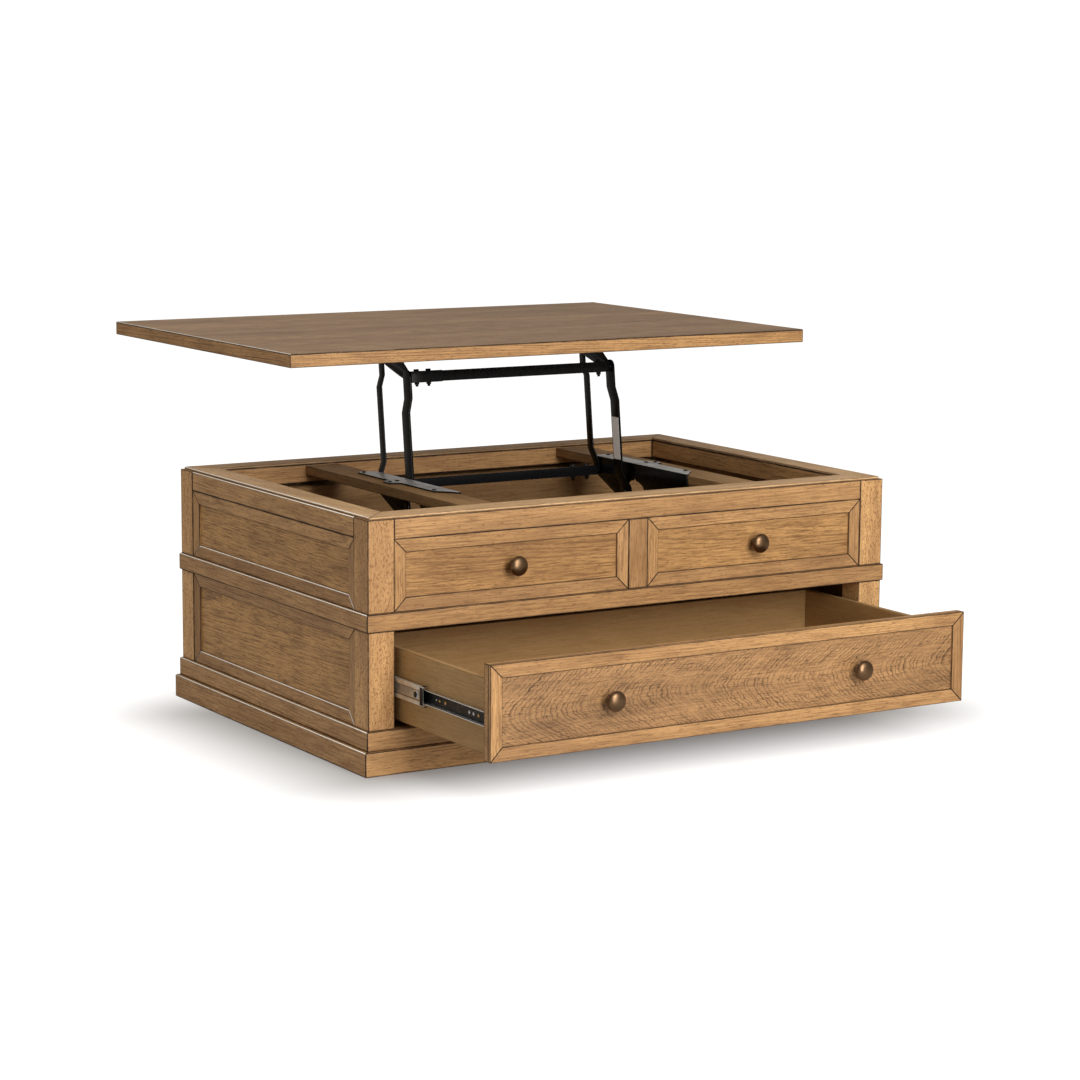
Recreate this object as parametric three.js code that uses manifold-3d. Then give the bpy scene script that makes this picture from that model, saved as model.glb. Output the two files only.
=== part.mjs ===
// Lift top coffee table: a framed wooden case with one wide drawer, two false drawer
// fronts above it, and a lid that swings up and back on a pair of parallel-arm lifts.
//
// Millimetres, +Z up, front at -Y. It is shown with the lid raised and the drawer drawn out.
// Pieces are laid out in the case's own frame: x = 0 on the case's centre line, y = 0 on
// the front face of the posts, z = 0 on the floor. The last lines centre the whole table.

import * as THREE from 'three';
import { mergeVertices } from 'three/addons/utils/BufferGeometryUtils.js';
import Module from 'manifold-3d';

const wasm = await Module();
wasm.setup();

// ---------------------------------------------------------------- driving dimensions

const caseWidth = 1200;
const caseDepth = 826;
const postSize = 56;
const fitGap = 0.3;

const plinthHeight = 47;
const plinthReach = 12.4;
const mouldingTop = 84.2;
const mouldingReach = 5;
const baseThickness = 18;

const lowerTierHeight = 188.5;
const bandHeight = 34;
const bandReach = 4;
const bandThickness = 20;

const upperTierHeight = 138.3;
const topRailHeight = 39;
const topRailProud = 6;
const railRecess = 0.5;
const rimHeight = 5;
const rimInset = 5.7;

const stileWidth = 44;
const panelThickness = 20;
const panelInset = 1.5;
const frameWidth = 26;
const frameStep = 5;

const floorThickness = 12;
const floorDrop = 7;
const backBoardThickness = 18;
const backBoardSink = 6;
const backBoardGap = 2;
const caseBottomThickness = 18;
const caseBottomDrop = 2;

const slatWidth = 76;
const slatThickness = 19;
const slatDrop = 8;
const liftCentre = 9;
const liftSpan = 545.5;

const lidOverhangSide = 9;
const lidOverhangFront = 4;
const lidThickness = 27.3;
const lidSeat = 0.5;

const armLength = 268;
const raisedAngle = 83;
const frontArmWidth = 30;
const frontArmThickness = 4;
const rearArmWidth = 21.5;
const rearArmThickness = 3;
const rearPivotInset = 240;
const rearPivotDrop = 35;
const frontPivotAhead = 112.6;
const frontPivotBelow = 33;
const lidPivotDrop = 54.5;
const pinRadius = 4;
const pinClearance = 0.3;
const crossbarHeight = 22;
const crossbarDepth = 16;
const lowerBarHeight = 20;
const lowerBarDepth = 14;
const sheetThickness = 3;
const plateReach = 233.4;
const plateTail = 12;
const bossRadius = 20;
const screwHoleRadius = 3.5;

const drawerTravel = 345;
const drawerGapSide = 5;
const drawerGapBelow = 4;
const drawerGapAbove = 6;
const drawerFrontThickness = 22;
const drawerSideGap = 13.5;
const drawerSideThickness = 12;
const drawerBoxDrop = 30.5;
const drawerBoxRise = 9;
const drawerBoxLength = 480;
const drawerBottomThickness = 6;
const drawerBottomRise = 6;

const slideLength = 500;
const slideHeight = 45;
const slideSheet = 1.2;
const slideStep = 9;
const slideBallGap = 0.8;
const slideBelowMiddle = 13;
const slideMiddleLead = 44.5;
const cleatThickness = 20;
const cleatHeight = 70;

const knobRadius = 19.5;
const knobLength = 32;
const knobStemRadius = 4.6;
const knobFootRadius = 8.5;
const knobHeadHeight = 17;
const knobDomeHeight = 9.5;

const springRadius = 7;
const springLength = 140;
const springClear = 2;
const springDrop = 7;
const springEyeRadius = 2.5;

// ---------------------------------------------------------------- worked-out places

const halfWidth = caseWidth / 2;
const bandBottom = mouldingTop + lowerTierHeight;
const bandTop = bandBottom + bandHeight;
const topRailBottom = bandTop + upperTierHeight;
const postTop = topRailBottom + topRailHeight;
const topRailDepth = postSize + topRailProud;
const rimTop = postTop + rimHeight;
const slatTop = rimTop - slatDrop;
const postInner = halfWidth - postSize;
const backPost = caseDepth - postSize;
const lidBottomClosed = rimTop + lidSeat;

const radians = (degrees) => THREE.MathUtils.degToRad(degrees);
const armY = (angle) => armLength * Math.cos(angle);
const armZ = (angle) => armLength * Math.sin(angle);

const rearPivot = { y: caseDepth - rearPivotInset, z: rimTop - rearPivotDrop };
const frontPivot = { y: rearPivot.y - frontPivotAhead, z: rearPivot.z - frontPivotBelow };

// The arms lean back when the lid is raised, and lie forward, nearly level, when it is shut.
const raised = radians(raisedAngle);
const shut = Math.PI - Math.asin((lidBottomClosed - lidPivotDrop - frontPivot.z) / armLength);
const frontTop = { y: frontPivot.y + armY(raised), z: frontPivot.z + armZ(raised) };
const lidShiftY = armY(raised) - armY(shut);
const lidBottom = frontTop.z + lidPivotDrop;

const drawerFrontHalf = postInner - drawerGapSide;
const drawerFrontBottom = mouldingTop + drawerGapBelow;
const drawerFrontTop = bandBottom - drawerGapAbove;
const drawerSideOuter = postInner - drawerSideGap;
const drawerBoxFront = -drawerTravel + drawerFrontThickness + fitGap;
const drawerBoxBottom = drawerFrontBottom + drawerBoxRise;
const drawerBoxTop = drawerFrontTop - drawerBoxDrop;
const drawerMiddle = (drawerFrontBottom + drawerFrontTop) / 2;
const slideZ = drawerMiddle - slideBelowMiddle;

// ---------------------------------------------------------------- materials

const paint = (colour, roughness, metalness) =>
  new THREE.MeshStandardMaterial({ color: colour, roughness, metalness });

const finishes = {
  wood: () => paint(0x9b6f42, 0.55, 0),
  sideWood: () => paint(0x7d5a38, 0.55, 0),
  lidWood: () => paint(0x8d6a48, 0.5, 0),
  drawerWood: () => paint(0x94764d, 0.6, 0),
  blackSteel: () => paint(0x141517, 0.4, 0.6),
  zinc: () => paint(0xb4b4ae, 0.35, 0.9),
  bronze: () => paint(0x4a3a2b, 0.35, 0.8),
};

// ---------------------------------------------------------------- geometry helpers

function toSolid(geometry) {
  const bare = geometry.clone();
  bare.deleteAttribute('normal');
  bare.deleteAttribute('uv');
  const merged = mergeVertices(bare, 1e-4);
  const vertProperties = new Float32Array(merged.attributes.position.array);
  const triVerts = new Uint32Array(merged.index.array);
  return new wasm.Manifold(new wasm.Mesh({ numProp: 3, vertProperties, triVerts }));
}

function toGeometry(solid) {
  const mesh = solid.getMesh();
  const geometry = new THREE.BufferGeometry();
  geometry.setAttribute('position', new THREE.BufferAttribute(mesh.vertProperties, 3));
  geometry.setIndex(new THREE.BufferAttribute(mesh.triVerts, 1));
  geometry.computeVertexNormals();
  return geometry;
}

function join(...geometries) {
  return toGeometry(geometries.map(toSolid).reduce((whole, next) => whole.add(next)));
}

function cut(geometry, ...tools) {
  const whole = toSolid(geometry);
  return toGeometry(tools.map(toSolid).reduce((left, tool) => left.subtract(tool), whole));
}

// A box from its lowest to its highest corner.
function block([x0, y0, z0], [x1, y1, z1]) {
  const box = new THREE.BoxGeometry(x1 - x0, y1 - y0, z1 - z0);
  return box.translate((x0 + x1) / 2, (y0 + y1) / 2, (z0 + z1) / 2);
}

function outline(points) {
  return new THREE.Shape(points.map(([x, y]) => new THREE.Vector2(x, y)));
}

// A plan outline (x, y) raised from z0 to z1.
function risen(points, z0, z1) {
  const shape = points instanceof THREE.Shape ? points : outline(points);
  const geometry = new THREE.ExtrudeGeometry(shape, { depth: z1 - z0, bevelEnabled: false });
  return geometry.translate(0, 0, z0);
}

// A side outline (y, z) carried across from x0 to x1.
function across(points, x0, x1) {
  const low = Math.min(x0, x1);
  const geometry = risen(points, 0, Math.abs(x1 - x0));
  return geometry.rotateY(Math.PI / 2).rotateX(Math.PI / 2).translate(low, 0, 0);
}

// A cross-section (x, z) carried back from y0 to y1.
function backward(points, y0, y1) {
  return risen(points, 0, y1 - y0).rotateX(Math.PI / 2).translate(0, y1, 0);
}

// A round bar along x, from x0 to x1.
function rod(radius, x0, x1, y, z, sides = 24) {
  const geometry = new THREE.CylinderGeometry(radius, radius, Math.abs(x1 - x0), sides);
  return geometry.rotateZ(Math.PI / 2).translate((x0 + x1) / 2, y, z);
}

// A round bar standing along z, from z0 to z1.
function peg(radius, x, y, z0, z1, sides = 6) {
  const geometry = new THREE.CylinderGeometry(radius, radius, z1 - z0, sides);
  return geometry.rotateX(Math.PI / 2).translate(x, y, (z0 + z1) / 2);
}

// Two numbers with the lower one first.
function ordered(a, b) {
  return [Math.min(a, b), Math.max(a, b)];
}

const table = new THREE.Group();
const sides = { left: -1, right: 1 };

function add(name, geometry, material) {
  const mesh = new THREE.Mesh(geometry, material());
  mesh.name = name;
  table.add(mesh);
  return mesh;
}

// ---------------------------------------------------------------- mitred frames

// One side of a rectangular frame round the case, mitred at its ends. The frame runs
// between two outlines that stand out from the post faces by outer and by inner.
function frameSide(side, outer, inner) {
  const ax = halfWidth + outer;
  const ay = caseDepth / 2 + outer;
  const bx = halfWidth + inner;
  const by = caseDepth / 2 + inner;
  const corners = {
    front: [[-ax + fitGap, -ay], [ax - fitGap, -ay], [bx - fitGap, -by], [-bx + fitGap, -by]],
    back: [[-ax + fitGap, ay], [-bx + fitGap, by], [bx - fitGap, by], [ax - fitGap, ay]],
    left: [[-ax, -ay], [-bx, -by], [-bx, by], [-ax, ay]],
    right: [[ax, -ay], [ax, ay], [bx, by], [bx, -by]],
  };
  return corners[side].map(([x, y]) => [x, y + caseDepth / 2]);
}

const sideFinish = {
  front: finishes.wood,
  back: finishes.wood,
  left: finishes.sideWood,
  right: finishes.sideWood,
};

for (const side of ['front', 'back', 'left', 'right']) {
  const plinth = risen(frameSide(side, plinthReach, -baseThickness), 0, plinthHeight);
  const moulding = risen(frameSide(side, mouldingReach, -baseThickness), 0, mouldingTop);
  add(`base_board_${side}`, join(plinth, moulding), sideFinish[side]);
  const band = risen(frameSide(side, bandReach, bandReach - bandThickness), bandBottom, bandTop);
  add(`waist_band_${side}`, band, sideFinish[side]);
}

// ---------------------------------------------------------------- corner posts

// Each post is let in where the waist band crosses its two outer faces.
const bandHousing = bandThickness - bandReach + fitGap;
const past = 1;
const postEnds = [
  { end: 'front', faceY: 0, inward: 1 },
  { end: 'back', faceY: caseDepth, inward: -1 },
];
for (const { end, faceY, inward } of postEnds) {
  for (const [side, sign] of Object.entries(sides)) {
    const postX = ordered(sign * postInner, sign * halfWidth);
    const postY = ordered(faceY, faceY + inward * postSize);
    const post = block([postX[0], postY[0], mouldingTop + fitGap], [postX[1], postY[1], postTop]);
    const cutY = ordered(faceY - inward * past, faceY + inward * bandHousing);
    const cutX = ordered(sign * (halfWidth + past), sign * (halfWidth - bandHousing));
    const low = bandBottom - fitGap;
    const high = bandTop + fitGap;
    const alongFront = block([postX[0] - past, cutY[0], low], [postX[1] + past, cutY[1], high]);
    const alongSide = block([cutX[0], postY[0] - past, low], [cutX[1], postY[1] + past, high]);
    add(`post_${end}_${side}`, cut(post, alongFront, alongSide), finishes.wood);
  }
}

// ---------------------------------------------------------------- top rails and rim

// Each rail fills the span between two posts. Its inner face stands proud of the posts,
// and there its ends are mitred to the neighbouring rails.
function railOutline(side) {
  const spanX = postInner - fitGap;
  const spanY = caseDepth / 2 - postSize - fitGap;
  const long = (half, face, sign) => [
    [-half, sign * (face - railRecess)],
    [half, sign * (face - railRecess)],
    [half, sign * (face - postSize)],
    [half - topRailProud, sign * (face - topRailDepth)],
    [-half + topRailProud, sign * (face - topRailDepth)],
    [-half, sign * (face - postSize)],
  ];
  const sideways = (points) => points.map(([x, y]) => [y, x]);
  const plan = {
    front: () => long(spanX, caseDepth / 2, -1),
    back: () => long(spanX, caseDepth / 2, 1),
    left: () => sideways(long(spanY, halfWidth, -1)),
    right: () => sideways(long(spanY, halfWidth, 1)),
  };
  return plan[side]().map(([x, y]) => [x, y + caseDepth / 2]);
}

for (const side of ['front', 'back', 'left', 'right']) {
  add(`top_rail_${side}`, risen(railOutline(side), topRailBottom, postTop), sideFinish[side]);
}

function rectangle(x0, y0, x1, y1) {
  return [[x0, y0], [x1, y0], [x1, y1], [x0, y1]];
}

// A rectangle that stands in from the case's four faces.
function inset(distance) {
  return rectangle(-halfWidth + distance, distance, halfWidth - distance, caseDepth - distance);
}

const rimShape = outline(inset(rimInset));
const rimOpening = inset(topRailDepth);
rimShape.holes.push(new THREE.Path(rimOpening.map(([x, y]) => new THREE.Vector2(x, y))));
add('top_rim', risen(rimShape, postTop + fitGap, rimTop), finishes.wood);

// ---------------------------------------------------------------- framed panels

// A panel framed by a raised border, lying in x and z with its face towards -y at y = 0.
function framedPanel(width, height, thickness) {
  const whole = block([-width / 2, 0, -height / 2], [width / 2, thickness, height / 2]);
  const pocket = block(
    [-width / 2 + frameWidth, -past, -height / 2 + frameWidth],
    [width / 2 - frameWidth, frameStep, height / 2 - frameWidth],
  );
  return cut(whole, pocket);
}

const upperHeight = topRailBottom - bandTop - 2 * fitGap;
const upperMiddle = (topRailBottom + bandTop) / 2;
const lowerHeight = bandBottom - mouldingTop - 2 * fitGap;
const lowerMiddle = (bandBottom + mouldingTop) / 2;

add('centre_stile', block(
  [-stileWidth / 2 + fitGap, railRecess, bandTop + fitGap],
  [stileWidth / 2 - fitGap, railRecess + panelThickness, topRailBottom - fitGap],
), finishes.wood);

const falseFrontWidth = postInner - stileWidth / 2 - 2 * fitGap;
const falseFrontMiddle = (postInner + stileWidth / 2) / 2;
for (const [side, sign] of Object.entries(sides)) {
  const front = framedPanel(falseFrontWidth, upperHeight, panelThickness);
  front.translate(sign * falseFrontMiddle, panelInset, upperMiddle);
  add(`false_front_${side}`, front, finishes.wood);
}

const sidePanelWidth = caseDepth - 2 * postSize - 2 * fitGap;
const tiers = [
  { level: 'upper', height: upperHeight, middle: upperMiddle },
  { level: 'lower', height: lowerHeight, middle: lowerMiddle },
];
for (const [side, sign] of Object.entries(sides)) {
  for (const { level, height, middle } of tiers) {
    const panel = framedPanel(sidePanelWidth, height, panelThickness);
    panel.rotateZ(sign * Math.PI / 2);
    panel.translate(sign * (halfWidth - panelInset), caseDepth / 2, middle);
    add(`side_panel_${side}_${level}`, panel, finishes.sideWood);
  }
}

// The back is one board with both its raised frames, let in where the band crosses it.
const backWidth = caseWidth - 2 * postSize - 2 * fitGap;
const backFrames = tiers.map(({ height, middle }) =>
  framedPanel(backWidth, height, panelThickness).translate(0, 0, middle));
const backSpine = block(
  [-backWidth / 2, bandThickness - bandReach - panelInset + fitGap, lowerMiddle],
  [backWidth / 2, panelThickness, upperMiddle],
);
const backPanel = join(...backFrames, backSpine);
backPanel.rotateZ(Math.PI).translate(0, caseDepth - panelInset, 0);
add('back_panel', backPanel, finishes.wood);

// ---------------------------------------------------------------- inside the case

const sidePanelInner = halfWidth - panelInset - panelThickness - fitGap;
const frontPanelInner = railRecess + panelThickness + panelInset + fitGap;
const backPanelInner = caseDepth - panelInset - panelThickness - fitGap;
const floorTop = bandTop - floorDrop;
const backBoardFront = backPost - backBoardGap - backBoardThickness;

// The compartment floor is notched round the four posts.
const notchX = postInner - fitGap;
const notchY = postSize + fitGap;
const floorPlan = [
  [-notchX, frontPanelInner], [notchX, frontPanelInner], [notchX, notchY], [sidePanelInner, notchY],
  [sidePanelInner, caseDepth - notchY], [notchX, caseDepth - notchY],
  [notchX, backPanelInner], [-notchX, backPanelInner],
  [-notchX, caseDepth - notchY], [-sidePanelInner, caseDepth - notchY],
  [-sidePanelInner, notchY], [-notchX, notchY],
];
add('compartment_floor', risen(floorPlan, floorTop - floorThickness, floorTop), finishes.drawerWood);

add('compartment_back', block(
  [-sidePanelInner, backBoardFront, floorTop + fitGap],
  [sidePanelInner, backBoardFront + backBoardThickness, topRailBottom - backBoardSink],
), finishes.drawerWood);

const baseInnerX = halfWidth - baseThickness - fitGap;
add('case_bottom', block(
  [-baseInnerX, baseThickness + fitGap, mouldingTop - caseBottomDrop - caseBottomThickness],
  [baseInnerX, caseDepth - baseThickness - fitGap, mouldingTop - caseBottomDrop],
), finishes.drawerWood);

for (const [side, sign] of Object.entries(sides)) {
  const cleatInner = postInner + fitGap;
  const edges = ordered(sign * cleatInner, sign * (cleatInner + cleatThickness));
  add(`slide_cleat_${side}`, block(
    [edges[0], postSize + fitGap, slideZ - cleatHeight / 2],
    [edges[1], backPost - fitGap, slideZ + cleatHeight / 2],
  ), finishes.drawerWood);
}

// ---------------------------------------------------------------- lift slats

// Places across the lift are counted from each slat's inner edge towards the middle.
const station = (sign, distance) => liftCentre + sign * (liftSpan / 2 - distance);

for (const [side, sign] of Object.entries(sides)) {
  const edges = ordered(station(sign, 0), station(sign, -slatWidth));
  add(`lift_slat_${side}`, block(
    [edges[0], topRailDepth + fitGap, slatTop - slatThickness],
    [edges[1], caseDepth - topRailDepth - fitGap, slatTop],
  ), finishes.drawerWood);
}

// ---------------------------------------------------------------- lift planes

// Each is the distance of a plate's or an arm's outer face from the slat's inner edge.
const platePlane = 0.5;
const washer = 0.5;
const footPlane = platePlane + sheetThickness + washer;
const frontMainPlane = 16.5;
const frontTopPlane = 24;
const lidPlatePlane = frontTopPlane + frontArmThickness + fitGap;
const rearMainPlane = 16.5;
const rearTopPlane = lidPlatePlane - rearArmThickness - washer - fitGap / 2;
const upperBarPlane = lidPlatePlane + sheetThickness + 2 * fitGap;
const lowerBarPlane = footPlane + rearArmThickness + fitGap;

// ---------------------------------------------------------------- base brackets

const flangeTop = slatTop + fitGap + sheetThickness;
const plateFront = frontPivot.y - plateReach;
const plateRear = rearPivot.y + plateTail;
const through = 10;

// The plate's lower edge drops to a boss at the front pivot and has a ragged notch ahead of it.
const plateOutline = [
  [plateRear, flangeTop],
  [plateRear - 2, rearPivot.z - 6],
  [frontPivot.y + 27, frontPivot.z - 16],
  [frontPivot.y, frontPivot.z - 12],
  [frontPivot.y - 9, frontPivot.z + 19],
  [frontPivot.y - 18, frontPivot.z + 25],
  [frontPivot.y - 27, frontPivot.z + 26],
  [frontPivot.y - 33, frontPivot.z + 33],
  [frontPivot.y - 41, frontPivot.z + 26],
  [frontPivot.y - 53, frontPivot.z + 24],
  [frontPivot.y - 64, frontPivot.z + 18],
  [frontPivot.y - 71, frontPivot.z + 10],
  [plateFront + 24, frontPivot.z + 8],
  [plateFront + 8, frontPivot.z + 18],
  [plateFront, frontPivot.z + 38],
  [plateFront + 6, flangeTop],
];

// The flange on top of the slat: distance out over the slat, place along it.
const flangeOutline = [
  [-sheetThickness - platePlane, plateFront + 6],
  [-sheetThickness - platePlane, plateRear],
  [10, plateRear + 8],
  [34, plateRear + 8],
  [38, plateRear - 8],
  [38, frontPivot.y - 4],
  [58, frontPivot.y - 20],
  [58, frontPivot.y - 44],
  [36, frontPivot.y - 58],
  [36, plateFront + 45],
  [14, plateFront + 22],
  [4, plateFront + 6],
];
const screwPlaces = [
  [28, plateRear - 5],
  [30, frontPivot.y - 27],
  [50, frontPivot.y - 32],
  [29, plateFront + 56],
];

for (const [side, sign] of Object.entries(sides)) {
  const faces = [station(sign, platePlane), station(sign, platePlane + sheetThickness)];
  const plate = across(plateOutline, ...faces);
  const boss = rod(bossRadius, ...faces, frontPivot.y, frontPivot.z);
  const flangePlan = flangeOutline.map(([out, y]) => [station(sign, -out), y]);
  const flange = risen(flangePlan, slatTop + fitGap, flangeTop);
  const ends = [station(sign, platePlane - through), station(sign, platePlane + through)];
  const pinHoles = [frontPivot, rearPivot].map(({ y, z }) =>
    rod(pinRadius + pinClearance, ...ends, y, z));
  const screwHoles = screwPlaces.map(([out, y]) =>
    peg(screwHoleRadius, station(sign, -out), y, slatTop - past, flangeTop + past, 12));
  const bracket = cut(join(plate, boss, flange), ...pinHoles, ...screwHoles);
  add(`lift_bracket_${side}`, bracket, finishes.blackSteel);
}

// ---------------------------------------------------------------- lift arms

// An arm standing on its foot pivot at the origin. Its steps are [height, distance inward]
// pairs, from the foot to the top; the two ends are round eyes.
function armSolid(sign, steps, thickness, width, pins) {
  const inward = -sign;
  const outerEdge = steps.map(([height, plane]) => [inward * plane, height]);
  const innerEdge = steps.map(([height, plane]) => [inward * (plane + thickness), height]);
  const strip = backward([...outerEdge, ...innerEdge.reverse()], -width / 2, width / 2);
  const eyes = [steps[0], steps[steps.length - 1]].map(([height, plane]) =>
    rod(width / 2, inward * plane, inward * (plane + thickness), 0, height));
  const shafts = pins.map(({ height, from, to, radius }) =>
    rod(radius, inward * from, inward * to, 0, height));
  return join(strip, ...eyes, ...shafts);
}

function placeArm(mesh, sign, pivot) {
  mesh.position.set(station(sign, 0), pivot.y, pivot.z);
  mesh.rotation.x = raised - Math.PI / 2;
}

// Each arm leaves the base bracket on its foot plane and is joggled inwards twice, over
// these stretches: from the foot up, and from the top down.
const frontJoggles = { foot: [14, 46], top: [72, 43] };
const rearJoggles = { foot: [18, 50], top: [62, 38] };

function armSteps({ foot, top }, mainPlane, topPlane) {
  return [
    [0, footPlane],
    [foot[0], footPlane],
    [foot[1], mainPlane],
    [armLength - top[0], mainPlane],
    [armLength - top[1], topPlane],
    [armLength, topPlane],
  ];
}

const frontSteps = armSteps(frontJoggles, frontMainPlane, frontTopPlane);
const rearSteps = armSteps(rearJoggles, rearMainPlane, rearTopPlane);
const pinStart = platePlane + fitGap;
const pinEnd = lidPlatePlane + sheetThickness;
const pinRoot = 1;
const rivetHead = 2.5;
const rivetRadius = 7.2;
const bushRadius = 5;

for (const [side, sign] of Object.entries(sides)) {
  const footPin = { height: 0, from: pinStart, to: footPlane + pinRoot, radius: pinRadius };
  const frontPins = [
    footPin,
    {
      height: 0,
      from: footPlane + pinRoot,
      to: footPlane + frontArmThickness + rivetHead,
      radius: rivetRadius,
    },
    { height: armLength, from: frontTopPlane + pinRoot, to: pinEnd, radius: bushRadius },
  ];
  const frontArm = armSolid(sign, frontSteps, frontArmThickness, frontArmWidth, frontPins);
  placeArm(add(`front_arm_${side}`, frontArm, finishes.blackSteel), sign, frontPivot);
  const rearPins = [
    footPin,
    { height: armLength, from: rearTopPlane + pinRoot, to: pinEnd, radius: pinRadius },
  ];
  const rearArm = armSolid(sign, rearSteps, rearArmThickness, rearArmWidth, rearPins);
  placeArm(add(`rear_arm_${side}`, rearArm, finishes.blackSteel), sign, rearPivot);
}

// ---------------------------------------------------------------- crossbars

const sleeveSkin = 1;
const boltHeadRadius = 5.5;
const boltHeadHeight = 5;
const nutRadius = 5;
const nutHeight = 5;
const threadRadius = 3;
const threadEnd = 9;

// A bar between the two lifts, upright at the origin, with a sleeve over its left end and
// through bolts with their nuts below. Bolts are counted inwards from the bar's two ends.
function crossbar({ plane, height, depth, sleeveLength, leftBolts, rightBolts }) {
  const [x0, x1] = [station(-1, plane), station(1, plane)];
  const tube = block([x0, -depth / 2, -height / 2], [x1, depth / 2, height / 2]);
  const sleeveDepth = depth / 2 + sleeveSkin;
  const sleeveHeight = height / 2 + sleeveSkin;
  const sleeve = block(
    [x0, -sleeveDepth, -sleeveHeight],
    [x0 + sleeveLength, sleeveDepth, sleeveHeight],
  );
  const places = [...leftBolts.map((in_) => x0 + in_), ...rightBolts.map((in_) => x1 - in_)];
  const bolts = places.flatMap((x) => [
    peg(boltHeadRadius, x, 0, height / 2 - past, height / 2 + boltHeadHeight),
    peg(nutRadius, x, 0, -height / 2 - nutHeight, -height / 2 + past),
    peg(threadRadius, x, 0, -height / 2 - threadEnd, -height / 2 + past, 12),
  ]);
  return join(tube, sleeve, ...bolts);
}

const bars = [
  {
    name: 'upper_crossbar',
    pivot: frontTop,
    plane: upperBarPlane,
    height: crossbarHeight,
    depth: crossbarDepth,
    sleeveLength: 72,
    leftBolts: [16, 44],
    rightBolts: [24],
  },
  {
    name: 'lower_crossbar',
    pivot: rearPivot,
    plane: lowerBarPlane,
    height: lowerBarHeight,
    depth: lowerBarDepth,
    sleeveLength: 60,
    leftBolts: [],
    rightBolts: [25, 60],
  },
];
for (const bar of bars) {
  const mesh = add(bar.name, crossbar(bar), finishes.blackSteel);
  mesh.position.set(0, bar.pivot.y, bar.pivot.z);
  mesh.rotation.x = raised - Math.PI / 2;
}

// ---------------------------------------------------------------- lid and its brackets

const bracketTop = lidPivotDrop - fitGap;
// Side outline of a lid bracket, from the front arm's top pivot.
const lidPlateOutline = [
  [-7, 7],
  [60, bracketTop],
  [frontPivotAhead + 47, bracketTop],
  [frontPivotAhead + 37, frontPivotBelow + 8],
  [frontPivotAhead + 6, frontPivotBelow - 9],
  [frontPivotAhead - 29, 12],
  [37, -1],
  [7, -8],
];
const eyeRadius = 11;
const lidFlangeReach = 24;
const lidFlangeFront = 50;
const lidFlangeRear = frontPivotAhead + 57;

for (const [side, sign] of Object.entries(sides)) {
  const planes = [station(sign, lidPlatePlane), station(sign, lidPlatePlane + sheetThickness)];
  const plate = across(lidPlateOutline, ...planes);
  const eyes = [
    rod(eyeRadius, ...planes, 0, 0),
    rod(eyeRadius, ...planes, frontPivotAhead, frontPivotBelow),
  ];
  const edges = ordered(station(sign, lidPlatePlane - lidFlangeReach), planes[1]);
  const flange = block(
    [edges[0], lidFlangeFront, bracketTop - sheetThickness],
    [edges[1], lidFlangeRear, bracketTop],
  );
  const ends = [station(sign, lidPlatePlane - through), station(sign, lidPlatePlane + through)];
  const bores = [
    rod(bushRadius + pinClearance, ...ends, 0, 0),
    rod(pinRadius + 2 * pinClearance, ...ends, frontPivotAhead, frontPivotBelow),
  ];
  const bracket = cut(join(plate, ...eyes, flange), ...bores);
  const mesh = add(`lid_bracket_${side}`, bracket, finishes.blackSteel);
  mesh.position.set(0, frontTop.y, frontTop.z);
}

const lidFront = -lidOverhangFront + lidShiftY;
const lidRear = caseDepth + lidOverhangFront + lidShiftY;
add('lid', block(
  [-halfWidth - lidOverhangSide, lidFront, lidBottom],
  [halfWidth + lidOverhangSide, lidRear, lidBottom + lidThickness],
), finishes.lidWood);

// ---------------------------------------------------------------- lift springs

// Each hangs below its slat, outside the bracket, hooked to the plate at both ends.
const springInset = 20;
const springZ = slatTop - slatThickness - springRadius - springDrop;
for (const [side, sign] of Object.entries(sides)) {
  const axisX = station(sign, -springRadius - springClear);
  const hookEnd = station(sign, platePlane - fitGap);
  const front = plateFront + springInset;
  const coil = new THREE.CylinderGeometry(springRadius, springRadius, springLength, 16);
  coil.translate(axisX, front + springLength / 2, springZ);
  const hooks = [front + springEyeRadius, front + springLength - springEyeRadius].map((y) =>
    rod(springEyeRadius, axisX, hookEnd, y, springZ, 12));
  add(`lift_spring_${side}`, join(coil, ...hooks), finishes.zinc);
}

// ---------------------------------------------------------------- drawer

const drawerFront = framedPanel(
  2 * drawerFrontHalf, drawerFrontTop - drawerFrontBottom, drawerFrontThickness);
drawerFront.translate(0, -drawerTravel, drawerMiddle);
add('drawer_front', drawerFront, finishes.wood);

const drawerBoxBack = drawerBoxFront + drawerBoxLength;
const drawerSideInner = drawerSideOuter - drawerSideThickness;
for (const [side, sign] of Object.entries(sides)) {
  const edges = ordered(sign * drawerSideOuter, sign * drawerSideInner);
  add(`drawer_side_${side}`, block(
    [edges[0], drawerBoxFront, drawerBoxBottom],
    [edges[1], drawerBoxBack, drawerBoxTop],
  ), finishes.drawerWood);
}
const drawerInside = drawerSideInner - fitGap;
add('drawer_back', block(
  [-drawerInside, drawerBoxBack - drawerSideThickness, drawerBoxBottom],
  [drawerInside, drawerBoxBack, drawerBoxTop],
), finishes.drawerWood);
const drawerBottomZ = drawerBoxBottom + drawerBottomRise;
add('drawer_bottom', block(
  [-drawerInside, drawerBoxFront, drawerBottomZ],
  [drawerInside, drawerBoxBack - drawerSideThickness - fitGap, drawerBottomZ + drawerBottomThickness],
), finishes.drawerWood);

// ---------------------------------------------------------------- drawer slides

// A channel section: a web at x = 0 with two flanges reaching towards +x.
function channel(height, reach) {
  const half = height / 2;
  return [
    [0, -half], [reach, -half], [reach, -half + slideSheet], [slideSheet, -half + slideSheet],
    [slideSheet, half - slideSheet], [reach, half - slideSheet], [reach, half], [0, half],
  ];
}

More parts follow.
